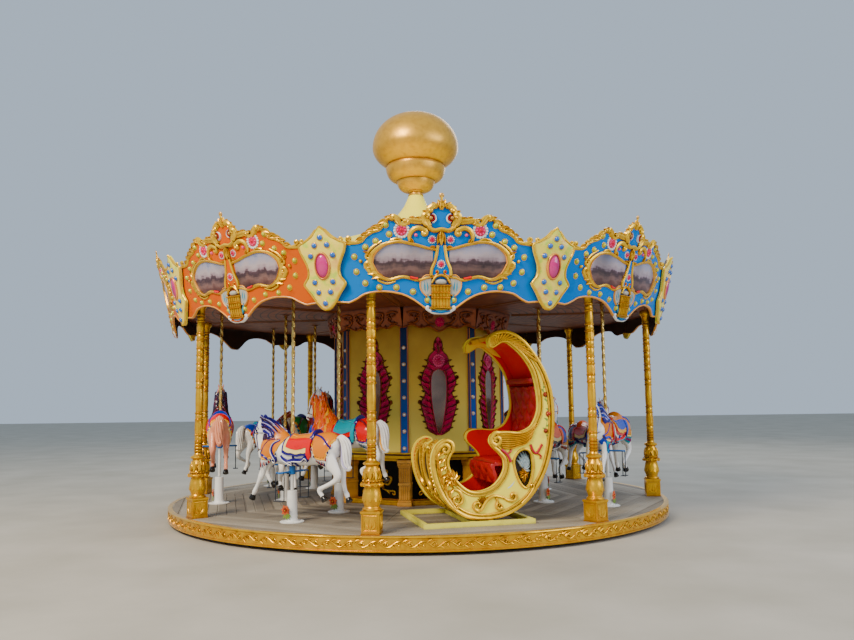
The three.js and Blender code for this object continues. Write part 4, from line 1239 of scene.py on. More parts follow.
def tube(path, radii, finish=0, sides=6, lobes=0, twist=0.0, depth=0.0):
    """A closed tube along a path in space. lobes, twist and depth flute it."""
    path = np.asarray(path, float)
    run = np.gradient(path, axis=0)
    run /= np.linalg.norm(run, axis=1, keepdims=True)
    normal = np.cross(run[0], [0.0, 1.0, 0.1])
    turns = np.linspace(0, 2 * math.pi, sides, endpoint=False)
    rows = []
    for k, (centre, ahead) in enumerate(zip(path, run)):
        normal = normal - ahead * normal.dot(ahead)
        normal /= np.linalg.norm(normal)
        other = np.cross(ahead, normal)
        out = np.broadcast_to(radii, len(path))[k] - depth * (1 - np.cos(lobes * (turns + twist * k))) / 2
        rows.append(centre + np.outer(out * np.cos(turns), normal) + np.outer(out * np.sin(turns), other))
    return np.vstack(rows), capped(len(path), sides), finish


def moulded(shells, voxel, rounds):
    """Shells fused into one smooth skin, as points and faces."""
    rough = bpy.data.objects.new("rough", joined_mesh("rough", shells, []))
    fuse = rough.modifiers.new("fuse", "REMESH")
    fuse.mode, fuse.voxel_size = "VOXEL", voxel
    ease = rough.modifiers.new("ease", "SMOOTH")
    ease.factor, ease.iterations = 0.5, rounds
    skin = from_modifiers(rough)
    points = np.array([vertex.co[:] for vertex in skin.vertices])
    faces = [list(face.vertices) for face in skin.polygons]
    bpy.data.meshes.remove(skin)
    return points, faces


def points_on(line, steps):
    """Points of a flat line at fractional steps along it."""
    return np.stack([np.interp(steps, np.arange(len(line)), line[:, k]) for k in (0, 1)], -1)


def wrap(skin, axis, start, end, girth):
    """The skin's surface round an axis of (forward, height): u along it, v round it, h out."""
    line = smooth(axis, 6)

    def lay(u, v, h):
        u, v, h = np.broadcast_arrays(u, v, h)
        steps = (u - start) / (end - start) * (len(line) - 1)
        centre = points_on(line, steps)
        ahead = points_on(line, steps + 0.5) - points_on(line, steps - 0.5)
        ahead /= np.linalg.norm(ahead, axis=-1, keepdims=True)
        turn = v / girth
        out = np.stack([ahead[..., 1] * np.cos(turn), -np.sin(turn), ahead[..., 0] * np.cos(turn)], -1)
        bases = np.stack([-centre[..., 0], 0 * turn, centre[..., 1]], -1).reshape(-1, 3)
        made = []
        for base, way, rise in zip(bases, out.reshape(-1, 3), h.reshape(-1)):
            hit, _, _, reach = skin.ray_cast(Vector(base), Vector(way))
            made.append(base + way * ((reach if hit else 0.1) + rise))
        return np.array(made).reshape(out.shape)
    return lay


def beside(skin, side, start=0.16):
    """The skin's surface nearest to a point beside the horse: u forward, v up, h out."""
    def lay(u, v, h):
        u, v, h = np.broadcast_arrays(u, v, h)
        made = []
        for forward, height, rise in zip(u.reshape(-1), v.reshape(-1), h.reshape(-1)):
            point, normal, _, _ = skin.find_nearest(Vector((-forward, side * start, height)))
            made.append(point + normal * rise)
        return np.array(made).reshape(u.shape + (3,))
    return lay


def patch(us, low, high, rise, lay, finish=0, rows=9, under=-0.004):
    """A moulded pad over the surface between two edges. rise may be a function of (u, share)."""
    us, low, high = (np.broadcast_to(np.asarray(values, float), len(us)) for values in (us, low, high))
    share = np.linspace(0, 1, rows)
    v = low[:, None] + (high - low)[:, None] * share
    u = np.repeat(us[:, None], rows, axis=1)
    lift = rise(u, share[None, :] + 0 * u) if callable(rise) else np.full_like(u, rise)
    ring = np.concatenate([lay(u, v, lift), lay(u, v, 0 * u + under)[:, ::-1]], axis=1)
    return ring.reshape(-1, 3), capped(len(us), 2 * rows), finish


(COAT, MANE, STREAK, SHADE, BLANKET, TRIM, PAD, BORDER, FRINGE, SEAT, STRAP, DROP, CROUP, HOOF, BRASS,
 EYE, LIP) = range(17)


def raised_mane(crest, inwards, lay_from):
    """Rows of locks on one side that fall from a high crest."""
    shells = []
    for row, (inset, start) in enumerate(mm("-35 6, -6 20, 24 65, 58 120, 96 160, 132 160")):
        for k in range(10):
            root = crest[int((k + 0.5 * (row % 2)) * (len(crest) - 1) / 9.5)] + inset * inwards
            wave = [0.10, 0.26, -0.40] if k % 2 else [0.04, 0.32, -0.22]
            length = (0.22 if row else 0.15) + 0.03 * (k % 3)
            lock = whirl(root, 228 + 2.2 * k + 6 * (k % 3), length, wave, 9)
            girth = 0.024 * np.sin(np.pi * (0.12 + 0.86 * np.linspace(0, 1, 9)) ** 0.7) + 0.002
            finish = (MANE, MANE, STREAK, MANE, SHADE)[(k + 2 * row) % 5]
            shells.append(ridge(lock, girth, 0.8 * girth + 0.007 + 0.004 * (k % 2), lay_from(start), finish))
    return shells


def swept_mane(crest, inwards, lay_from):
    """Locks on one side of an arched neck that are swept back to the withers."""
    shells = []
    for k in range(17):
        share = (k - 2) / 14
        front = crest[-1] + (0.015 - 0.045 * share - 0.02 * share ** 2, 0.015 - 0.250 * share)
        back = crest[3] + (0.055 * share, 0.030 - 0.040 * share)
        middle = (front + back) / 2 + (0.0, 0.050 - 0.055 * share)
        wave = 0.012 * math.sin(2.4 * k)
        lock = smooth([front, (front + middle) / 2 + (0, 0.012 + wave), middle,
                       (middle + back) / 2 - (0, wave), back], 4)
        swell = np.sin(np.pi * np.linspace(0.12, 0.97, len(lock)) ** 0.8)
        girth = (0.013 + 0.006 * (k % 3 == 0)) * swell + 0.002
        lay = lay_from(float(np.clip(0.012 + 0.024 * k, 0.012, 0.16)))
        shells.append(ridge(lock, girth, 0.8 * girth + 0.007 + 0.006 * (k % 2), lay,
                            (MANE, MANE, STREAK, SHADE, MANE, STREAK)[k % 6]))
    return shells


def horse_shells(raised, stretch):
    """One mould: the figure with its mane, tail and tack, with the pole's place at the origin.

    What is behind the pole is drawn longer by stretch.
    """
    def far(u):
        return np.where(np.asarray(u, float) < 0, np.asarray(u, float) * stretch, u)

    def reach(rows):
        rows = np.array(rows, float)
        rows[:, 0] = far(rows[:, 0])
        return rows

    neck, face = (RAISED_NECK, RAISED_HEAD) if raised else (ARCHED_NECK, ARCHED_HEAD)
    poll, brow, muzzle = np.array(face[0][:2]), np.array(face[1][:2]), np.array(face[-2][:2])
    flesh = [limb(reach(TRUNK)), limb(neck), limb(face)]
    for side, front, hind in ((-1, FRONT_REACHING, HIND_TUCKED), (1, FRONT_BENT, HIND_DRIVING)):
        flesh += [limb(front, side * LEG_OFFSET, 12), limb(reach(hind), side * LEG_OFFSET, 12),
                  limb(SHOULDER, side * 0.078, 12), limb(reach(HAUNCH), side * 0.088, 12)]
        ear = brow + (0.0, 0.072) if raised else poll + (0.030, 0.026)
        lean = np.array((-0.018, 0.058) if raised else (0.016, 0.060))
        flesh.append(limb([(*ear, 0.012, 0.012), (*(ear + 0.35 * lean), 0.018, 0.014),
                           (*(ear + 0.7 * lean), 0.012, 0.010), (*(ear + lean), 0.004, 0.004)],
                          side * 0.034, 8))
    points, faces = moulded(flesh, MOULD_VOXEL, 5)
    skin = BVHTree.FromPolygons([Vector(p) for p in points], faces)
    shells = [(points, faces, COAT)]
    rear = TRUNK_START * stretch
    trunk = wrap(skin, [(f, 0.895) for f in np.linspace(rear, TRUNK_END, 6)], rear, TRUNK_END, 0.15)
    head = wrap(skin, [row[:2] for row in face[1:-1]], 0.0, 1.0, 0.06)
    crest = smooth(mm("60 1040, 110 1090, 155 1180, 190 1280, 215 1370, 265 1445" if raised else
                      "60 1035, 150 1085, 215 1150, 295 1210, 375 1255, 445 1265"), 5)
    inwards = np.array((0.90, -0.44) if raised else (0.50, -0.87))

    for side in (-1, 1):
        near = beside(skin, side)
        for hoof in HOOVES[side]:
            top, foot = np.array(hoof[:2]), np.array(hoof[2:])
            wall = np.array([(*(top + (foot - top) * t), d, w) for t, d, w in HOOF_WALL])
            wall = wall + [float(far(top[0])) - top[0], 0, 0, 0]
            shells.append((*limb(wall, side * LEG_OFFSET, 12)[:2], HOOF))
        eye = np.array(face[2][:2]) + (0.004, 0.022)
        shells += [dome(*eye, 0.020, 0.006, near, LIP, 10, 0.8), dome(*eye, 0.014, 0.014, near, EYE, 10, 0.9),
                   dome(*(muzzle + (0.014, 0.008)), 0.010, 0.004, near, LIP, 8, 1.3),
                   ridge([muzzle + (0.012, -0.028), muzzle + (-0.012, -0.008), muzzle + (-0.030, 0.030)],
                         0.003, 0.003, near, LIP)]
        shells += (raised_mane if raised else swept_mane)(crest, inwards,
                                                          lambda start: beside(skin, side, start))
        for k in range(5):
            root = brow + (0.026 + 0.008 * k, 0.050 - 0.022 * k)
            lock = whirl(root, 262 + 9 * k, 0.10 + 0.01 * (k % 2), [0.1, -0.3], 7)
            shells.append(ridge(lock, np.linspace(0.012, 0.002, 7), 0.010, beside(skin, side, 0.03),
                                (STRAP, MANE, SHADE, MANE, STREAK)[k]))
        arc_way = side * -1.0

        def band(us, low, high, rise, finish, rows=7):
            shells.append(patch(us, arc_way * np.asarray(low), arc_way * np.asarray(high), rise, trunk,
                                finish, rows))

        def strap(path, half_width, rise):
            line = smooth(reach(mm(path)), 3) * (1, arc_way)
            shells.append(ridge(line, half_width, rise, trunk, STRAP))

        for start, end, drop, slope in ((0.02, 0.392, 0.335, 0.17), (-0.590, -0.350, 0.315, 0.06)):
            on_croup = start < -0.3
            us = np.linspace(start, end, 15)
            share = (us - start) / (end - start)
            rounded = np.clip((us - start) / slope, 0.12, 1) ** 0.7
            if on_croup:
                rounded *= np.clip((end - us) / 0.05, 0.30, 1) ** 0.5
            hem = drop * rounded + 0.009 * abs(np.sin(share * 5 * math.pi))
            us = far(us)
            band(us, 0.0 * us, hem, 0.010, CROUP if on_croup else BLANKET, 11)
            shells.append(ridge(np.stack([us, arc_way * (hem - 0.006)], -1), 0.009, 0.018, trunk, TRIM))
            for k in range(1 if on_croup else 4, 14):
                for low, high, width, rise, finish in ((0.002, 0.074, 0.036, 0.018, DROP),
                                                       (0.016, 0.052, 0.013, 0.025,
                                                        PAD if k % 2 else FRINGE)):
                    shells.append(leaf((us[k], arc_way * (hem[k] + low)), (us[k], arc_way * (hem[k] + high)),
                                       width, rise, trunk, finish, steps=4))
                if k % 2:
                    shells.append(dome(us[k], arc_way * (hem[k] - 0.026), 0.009, 0.020, trunk, BRASS, 6))
        us = far(np.linspace(-0.355, 0.035, 17))
        share = (us - us[0]) / (us[-1] - us[0])
        for inset, rise, finish, scallop in ((0.0, 0.016, FRINGE, 0.012), (0.026, 0.022, BORDER, 0.010),
                                             (0.062, 0.028, PAD, 0.0)):
            line = us[0] + inset + share * (us[-1] - us[0] - 2 * inset)
            drop = (0.262 - inset + 0.028 * np.sin(math.pi * share)
                    + scallop * abs(np.sin(3 * math.pi * share)))
            band(line, 0.03 + 0 * share, drop, rise, finish)
        band(far(np.linspace(-0.352, -0.300, 5)), [0.13, 0.12, 0.12, 0.12, 0.13],
             [0.27, 0.31, 0.32, 0.31, 0.27], 0.034, PAD)
        for turns, size, width, *stem in mm("""950 34 42 100 120 175 170 195 250 150 330,
            1050 26 40 30 375 -90 350 -210 345 -265 310, -900 22 34 60 300 20 345 -60 385"""):
            stem = [(float(far(u)), arc_way * v) for u, v in np.reshape(stem, (-1, 2))]
            shells.append(scroll(stem, -arc_way * turns, size, width, 0.036, trunk, FRINGE))
            shells.append(scroll(stem, -arc_way * turns, size, 0.36 * width, 0.042, trunk, DROP))
        girth_line = [(float(far(-0.110)), arc_way * (0.30 + 0.14 * t)) for t in np.linspace(0, 1, 6)]
        shells.append(ridge(girth_line, 0.016, 0.020, trunk, STRAP))
        strap("260 340, 330 300, 385 330, 396 440", 0.013, 0.024)
        strap("-330 50, -420 80, -500 120, -575 200", 0.012, 0.022)

    def seat_rise(u, share):
        across = 1 - (2 * share - 1) ** 2
        cantle = np.clip((-0.245 * stretch - u) / 0.09, 0, 1) ** 1.5
        pommel = np.clip((u + 0.095) / 0.07, 0, 1) ** 1.5
        return 0.024 + across * (0.012 + 0.032 * cantle + 0.018 * pommel)

    us = far(np.linspace(-0.350, -0.015, 15))
    middle, half_length = (us[0] + us[-1]) / 2, (us[-1] - us[0]) / 2
    half = 0.118 - 0.05 * np.clip((abs(us - middle) - 0.55 * half_length) / (0.5 * half_length), 0, 1) ** 2
    shells += [patch(us, -half - 0.014, half + 0.014, lambda u, share: seat_rise(u, share) - 0.007, trunk,
                     FRINGE, 11),
               patch(us[1:-1], -half[1:-1], half[1:-1], seat_rise, trunk, SEAT, 11)]
    for spot in (0.22, 0.72):
        turns = np.linspace(-math.pi, math.pi, 21)
        ring = np.stack([spot + 0.035 * np.cos(turns), 0.06 * turns], -1)
        shells.append(ridge(ring, 0.008, 0.010, head, STRAP))
    for side in (-1, 1):
        cheek = [(0.18 + 0.09 * k, side * (0.098 - 0.004 * k)) for k in range(7)]
        rein = [muzzle + (-0.005, 0.02), muzzle + (-0.10, -0.03 if raised else 0.09), (0.27, 1.00),
                (0.14, 1.03), (0.09, 1.045)]
        shells += [ridge(cheek, 0.007, 0.010, head, STRAP),
                   dome(0.70, side * 0.088, 0.016, 0.016, head, BRASS, 8),
                   dome(0.24, side * 0.098, 0.016, 0.018, head, BRASS, 8),
                   ridge(smooth(rein, 4), 0.008, 0.016, beside(skin, side), STRAP)]
    dock = smooth(reach(mm("""-580 1020, -632 1040, -676 985, -690 890, -684 790, -690 725, -716 698,
        -738 722""")), 4)
    t = np.linspace(0, 1, len(dock))
    bulk = 0.040 * np.sin(np.pi * (0.14 + 0.74 * t)) + 0.005
    core = np.stack([-dock[:, 0], 0 * t, dock[:, 1]], -1)
    shells.append(tube(core, bulk, COAT, 8))
    for k in range(9):
        turn = 2 * math.pi * k / 9 + 2.4 * t
        away = np.stack([np.cos(turn), np.sin(turn), 0 * t], -1) * (0.9 * bulk + 0.003)[:, None]
        end = int(len(t) * (0.80 + 0.03 * (k % 4) + (0.02 if k % 2 else 0.08)))
        girth = 0.016 * np.sin(np.pi * (0.08 + 0.9 * t[:end] / t[end - 1])) + 0.002
        shells.append(tube((core + away)[:end], girth, STREAK if k == 4 else COAT, 6))
    return shells


def tinted_gloss(name, bright, deep):
    """Brush-painted gloss on glass fibre: a clear wet shine over slightly uneven colour, with painted shade
    in its corners and creases.
    """
    return enamel(name, bright, deep, 0.18, 0.2, 0.25)


paint = {name: tinted_gloss(f"{name}_gloss_paint", bright, deep) for name, bright, deep in (
    ("white", "#F4F3EF", "#AFA9A4"), ("cream", "#EFE3CB", "#A8936F"), ("salmon", "#F09C76", "#9A4E30"),
    ("tan", "#C98E5E", "#7A4A26"), ("violet", "#20147A", "#0C0638"), ("lilac", "#C9C2EE", "#6E62B4"),
    ("orange", "#F26000", "#B43800"), ("amber", "#E07E00", "#AC5200"), ("yellow", "#F8AE00", "#B46C00"),
    ("red", "#DC0008", "#7A0004"), ("royal", "#0438B8", "#041C58"), ("teal", "#009CB0", "#045062"),
    ("maroon", "#6A1620", "#2A0509"), ("plum", "#37203E", "#140A18"), ("black", "#1B1918", "#080706"),
    ("green", "#2E9A4A", "#0F4A20"), ("pale_gold", "#F3DD8A", "#B08A34"))}
eye_gloss = tinted_gloss("eye_black_gloss", "#100C0A", "#050404")
HORSE_COLOURS = {
    ("outer", 1): "white violet lilac plum amber yellow red pale_gold violet amber violet white amber",
    ("inner", 1): "white orange yellow orange royal violet teal red violet teal maroon white red",
    ("outer", 3): "white royal lilac violet amber pale_gold royal yellow red amber royal teal amber",
    ("inner", 3): "white plum violet maroon royal yellow orange pale_gold plum orange red white royal",
    ("outer", 4): "white maroon red plum violet yellow red pale_gold violet orange red teal violet",
    ("inner", 4): "white orange yellow red green pale_gold red yellow royal amber royal white red",
    ("outer", 5): "white red orange maroon teal yellow violet pale_gold red yellow violet white teal",
    ("inner", 5): "tan maroon orange plum red pale_gold royal yellow teal orange red white red",
    ("outer", 6): "salmon plum violet maroon royal yellow orange pale_gold red yellow violet teal royal",
    ("inner", 6): "white violet lilac royal red yellow teal pale_gold royal amber violet white red",
    ("outer", 7): "white orange yellow red royal yellow red pale_gold teal amber red white royal",
    ("inner", 7): "cream maroon red plum green yellow orange pale_gold violet yellow maroon teal green",
    ("outer", 8): "salmon plum maroon black royal yellow red pale_gold royal red royal pale_gold red",
    ("inner", 8): "white maroon red plum teal pale_gold orange yellow violet amber maroon white teal",
}
moulds = {(raised, row): horse_shells(raised, OUTER_STRETCH if row == "outer" else 1.0)
          for raised in (False, True) for row in ("outer", "inner")}

# The horse poles: brass tube with a twisted skin over a steel core, from the crank gear through the
# ceiling down to the belly, and a white rod from there into the sleeve. A blue collar carries the
# two black wire cages for the rider's feet.
POLE_RADIUS = 0.0245
POLE_TOP = 2.86
BELLY = 0.73
ROD_FOOT = 0.162
TWIST_PITCH = 0.11
RING_STEP = 0.016
CAGE_OUT = 0.215
CAGE_HALF = 0.062
pole_finishes = [gold_paint("lacquered_twisted_brass", "#F2CE72", "#B5812C", "#4E300C", 0.22, 0.85),
                 white_enamel, enamel("collar_blue_enamel", "#1C6FC0", "#0A3468", 0.3),
                 enamel("cage_black_enamel", "#1C2430", "#0A0D12", 0.35)]


def pole_mesh_at_axis():
    """The twisted pole, the rod, the collar and the foot cages, with the pole on the Z axis."""
    heights = np.arange(BELLY - 0.02, POLE_TOP, RING_STEP)
    line = np.stack([0 * heights, 0 * heights, heights], -1)
    shells = [tube(line, POLE_RADIUS, 0, 12, lobes=2, twist=math.pi * RING_STEP / TWIST_PITCH, depth=0.007),
              lathe([(0, ROD_FOOT), (0.016, ROD_FOOT), (0.0195, ROD_FOOT + 0.006), (0.0195, BELLY),
                     (0, BELLY)], 14, 1),
              lathe(mm("0 610, 30 610, 36 616, 36 700, 30 706, 0 706"), 18, 2),
              tube(mm("0 -235 640, 0 -100 640, 0 100 640, 0 235 640"), 0.011, 2, 8)]
    for y in (-CAGE_OUT, CAGE_OUT):
        for x in (-CAGE_HALF, CAGE_HALF):
            drop = [(0.6 * x, y, 0.640), (x, y, 0.615), (x, y, 0.40), (x, y, 0.345), (x * 0.92, y, 0.332)]
            shells.append(tube(smooth(drop, 3), 0.0058, 3, 6))
        for half, height, radius, finish in ((0.055, 0.642, 0.007, 2), (CAGE_HALF, 0.45, 0.0050, 3)):
            shells.append(tube([(-half, y, height), (0, y, height), (half, y, height)], radius, finish, 6))
        shells.append(plate(rect(-0.064, 0.064, y - 0.034, y + 0.034), 0.326, 0.333, 3))
    return joined_mesh("horse_pole", shells, pole_finishes)


pole_mesh = pole_mesh_at_axis()
travel = {joint["name"]: joint.get("range_m") for joint in frame["record"]["behaviour"]["joints"]}
for (row, bay), colours in HORSE_COLOURS.items():
    solid = f"horse_{row}_{bay}"
    finishes = [paint[name] for name in colours.split()] + [paint["black"], carving_gold, eye_gloss,
                                                            paint["maroon"]]
    mould = moulds[(bay % 2 == 0) == (row == "outer"), row]
    galloper = joined_mesh(f"galloper_{row}_{bay}", mould, finishes, share=0.46)
    lift = -sum(travel[f"{solid}_lift"]) / 2
    spot = (0, -(OUTER_ROW if row == "outer" else INNER_ROW), DECK_TOP + lift)
    put(f"galloper_{row}_{bay}", galloper, solid, bay_angle(bay), [solid], at=spot)
    put(f"twisted_pole_{row}_{bay}", pole_mesh, solid, bay_angle(bay), [solid], at=spot)

# The chariot: two crescent sides and a bent shell between them, moulded in glass fibre and bolted
# together round a buttoned seat. It stands on a yellow steel frame and is painted cream, gold and
# red. Along a side, u runs forward from the middle of the bay and v up from the deck.
CHARIOT_FLOOR = DECK_TOP - 0.0014
CHARIOT_OUTER = 2.92
CHARIOT_INNER = 1.97
FLANK = 0.06
SHELL = 0.045
LINING = 0.012
HULL = mm("""315 865, 345 925, 430 945, 524 888, 575 790, 585 665, 553 500, 492 350, 395 214, 246 105,
    83 56, -155 58, -398 144, -585 290, -754 547, -845 842, -878 1150, -865 1428, -816 1613, -750 1758,
    -650 1915, -531 2050, -407 2130, -301 2158, -194 2142, -118 2098, -86 2030""")
OPENING = mm("""-100 1965, -145 1950, -199 1978, -262 2014, -325 2014, -385 1974, -473 1900, -560 1795,
    -628 1672, -668 1505, -686 1338, -672 1213, -611 1090, -540 1036, -445 1008, -299 1018, -177 1011,
    -110 973, -90 906, -125 840, -196 775, -256 690, -245 565, -140 430, 15 369, 160 385, 285 485, 360 595,
    383 690, 360 762, 322 810""")
OVAL = mm("""-497 815, -430 785, -372 690, -390 560, -440 440, -510 380, -572 450, -605 600, -590 740,
    -550 800""")
SIDE_SCROLLS = """-1350 68 57.2 30 -230 1000 -160 998 -108 945, 1150 58 52 30 545 720 515 830 450 885,
    1150 66 41.6 30 350 400 275 375 236 295, 1100 62 44.2 30 -240 285 -125 308 -35 255 25 170,
    -1050 40 33.8 30 -150 290 -165 250 -150 205, -1000 50 39 30 -220 300 -285 258 -350 248,
    -900 26 39 30 440 400 400 300 330 200, -900 26 31.2 30 -450 220 -540 300 -600 390,
    900 26 39 30 -130 2010 -110 2060 -160 2100"""
RIBBONS = """15 -225 815 -290 760 -335 675, 8 -300 765 -335 790 -345 812,
    12 -575 860 -605 790 -650 765 -715 860, 8 -650 765 -695 735 -690 700"""
# RECESS_SHADOW is dark brown painted shadow for the carved recesses.
CREAM, CARVING, RUBY, RECESS_SHADOW, SILVERED, VINE, TEXTILE, RIBBON = range(8)


def leathercloth():
    """Red leathercloth: a soft satin sheen over a fine pebbled grain, with painted shade that darkens it in
    the folds.
    """
    material, tree = new_material("red_leathercloth", 0.42)
    # Painted shade: ambient occlusion darkens the red in the folds.
    folds = node(tree, "AmbientOcclusion", {"Distance": 0.06}, output="AO", samples=6)
    pebbles = node(tree, "TexVoronoi", {"Vector": place(tree), "Scale": 420.0}, output="Distance")
    return wired(material, tinted(tree, folds, (0.25, "#4C0105"), (0.9, "#A40610")), pebbles, 0.2, 0.0008)


def pierced(lines, back, front, lay, finish):
    """A flat board cut to the first of the lines, with the others as holes in it."""
    flat = np.vstack(lines)
    count = len(flat)
    cut = tessellate_polygon([[Vector((u, v, 0)) for u, v in line] for line in lines])
    faces = [list(three) for three in cut] + [[count + i for i in three[::-1]] for three in cut]
    start = 0
    for line in lines:
        edge = [start + i for i in range(len(line))]
        faces += [[a, b, count + b, count + a] for a, b in zip(edge, edge[1:] + edge[:1])]
        start += len(line)
    points = [lay(flat[:, 0], flat[:, 1], np.full(count, height)) for height in (front, back)]
    return np.vstack(points), faces, finish


def moved_right(line, distance):
    """A line moved to its right-hand side."""
    run = np.gradient(line, axis=0)
    run /= np.linalg.norm(run, axis=1, keepdims=True) + 1e-9
    return line + distance * np.stack([run[:, 1], -run[:, 0]], -1)


def on_flank(radius, way):
    """A side's face: u forward, v up, and h out from it, away from the axis or towards it."""
    return lambda u, v, h: np.stack([-u, -(radius + way * h), v + CHARIOT_FLOOR], -1)


def on_bend(line):
    """A sheet bent along a line of (forward, up): u along it, v the radius, h to the line's left."""
    lengths = np.concatenate([[0], np.cumsum(np.linalg.norm(np.diff(line, axis=0), axis=1))])
    left = moved_right(line, -1.0) - line

    def lay(u, v, h):
        forward, up = (np.interp(u, lengths, line[:, k]) + h * np.interp(u, lengths, left[:, k])
                       for k in (0, 1))
        return np.stack([-forward, -v, up + CHARIOT_FLOOR], -1)
    return lay, lengths[-1]


def flank_shells(lay):
    """A crescent side with the carving and painting on its face, and its red lining behind."""
    hull, opening, oval = smooth(HULL, 4), smooth(OPENING, 4), smooth(OVAL + OVAL[:1], 3)[:-1]
    hull_lining, opening_lining = moved_right(hull, 0.022), moved_right(opening, 0.012)

    def inwards(u, v, h):
        return lay(u, v, -FLANK - LINING - h)

    def deep(u, v, h):
        return lay(u, v, h - FLANK + 0.006)

    rim = np.vstack([opening[-3:], hull, opening[:6]])
    # The oval's floor, set back in the side, is dark brown painted shadow.
    shells = [pierced([np.vstack([hull, opening]), oval], -FLANK, 0.0, lay, CREAM),
              pierced([np.vstack([hull_lining, opening_lining])], -FLANK - LINING, -FLANK, lay, RUBY),
              pierced([moved_right(oval, 0.004)], -FLANK, -FLANK + 0.006, lay, RECESS_SHADOW)]
    for line, out, half_width, rise in ((rim, 0.021, 0.024, 0.024), (hull[8:-4], 0.062, 0.012, 0.014),
                                        (opening, 0.016, 0.018, 0.020), (opening[44:], 0.050, 0.009, 0.012),
                                        (opening[4:50], 0.046, 0.009, 0.012)):
        shells.append(ridge(moved_right(line, out), half_width, rise, lay, CARVING))
    shells += [ridge(np.vstack([oval, oval[:2]]), 0.015, 0.018, lay, CARVING),
               pierced([np.vstack([hull_lining[-26:], opening_lining[:24]])], 0.0, 0.002, inwards, CREAM),
               ridge(moved_right(hull, 0.050)[-26:-3], 0.020, 0.018, inwards, CARVING)]
    crown, brow = moved_right(hull[-28:], 0.034), moved_right(opening[:24], 0.026)[::-1]

    def hood_ends(share):
        return [points_on(line, share * (len(line) - 1)) for line in (crown, brow)]

    shells.append(ridge(sum(hood_ends(np.linspace(0, 1, 8))) / 2, np.linspace(0.052, 0.028, 8), 0.008, lay,
                        CREAM))
    for share in np.linspace(0.02, 1, 16):
        high, low = hood_ends(share)
        shells.append(ridge([high, (high + low) / 2, low], [0.013, 0.019, 0.013], 0.026, lay, CARVING))
    over = smooth(mm("-160 995, -300 1000, -445 985, -560 1015, -650 1100"), 4)
    under = smooth(mm("-235 835, -342 825, -430 850, -520 875, -590 930"), 4)
    shells.append(pierced([np.vstack([over, under[::-1]])], 0.0, 0.007, lay, CARVING))
    for k in range(8):
        shells.append(ridge(over + (under - over) * k / 7, np.linspace(0.012, 0.009, len(over)),
                            0.020 + 0.004 * (k % 2), lay, CARVING))
    shells += scrolls(SIDE_SCROLLS, lay, CARVING)
    for turn in np.radians(20 + 17.5 * np.arange(9)):
        shells.append(leaf((0.0, 0.235), (0.085 * math.cos(turn), 0.235 + 0.085 * math.sin(turn)), 0.020,
                           0.016, lay, CARVING, steps=4))
    for tip in mm("455 555, 420 605, 360 622, 300 590, 262 545, 450 480, 420 420, 345 415, 290 440"):
        shells.append(leaf((0.360, 0.515), tip, 0.060, 0.030, lay, CARVING, bow=0.15))
    shells.append(dome(0.360, 0.515, 0.028, 0.040, lay, CARVING, 8))
    for k in range(7):
        root = np.array([0.520 - 0.004 * k * k, 0.780 - 0.082 * k])
        shells += [leaf(root, root + (-0.038, 0.122), 0.054, 0.026, lay, CARVING, bow=-0.2),
                   leaf(root, root + (-0.085, 0.050), 0.044, 0.022, lay, CARVING, bow=0.2)]
    for width, *points in mm(RIBBONS):
        line = smooth(np.reshape(points, (-1, 2)), 4)
        shells += [ridge(line, 1.3 * width + 0.005, 0.012, lay, CARVING),
                   ridge(line, 1.3 * width, 0.020, lay, RIBBON)]
    heights = np.linspace(0.90, 1.56, 25)
    stem = np.stack([-0.790 + 0.022 * np.sin(14 * heights) + 0.5 * np.clip(heights - 1.3, 0, 1) ** 2,
                     heights], -1)
    shells.append(ridge(stem, 0.0035, 0.0022, lay, VINE))
    for k in range(2, 24, 2):
        tip = stem[k] + ((-0.042 if k % 4 else 0.042), 0.034)
        shells.append(leaf(stem[k], tip, 0.026, 0.003, lay, VINE, bow=0.2, steps=5))
    for spot, size in ((stem[11], 0.036), (stem[19] + (-0.012, 0), 0.028), (stem[4], 0.026)):
        shells += rose(*spot, size, lay, RIBBON, RIBBON, CARVING, CARVING, 5)
    shells += leaves("-290 385 -375 465 18", lay, SILVERED, 0.002, bow=0.1)
    for turn in np.radians(30 + 20 * np.arange(9)):
        shells.append(leaf((-0.500, 0.600), (0.092 * math.cos(turn) - 0.500, 0.600 + 0.185 * math.sin(turn)),
                           0.046, 0.034, deep, SILVERED, bow=0.1))
    for tip in mm("-435 560, -440 480, -500 420, -555 480, -570 560, -505 620"):
        shells.append(leaf((-0.505, 0.530), tip, 0.050, 0.040, deep, CARVING))
    return shells


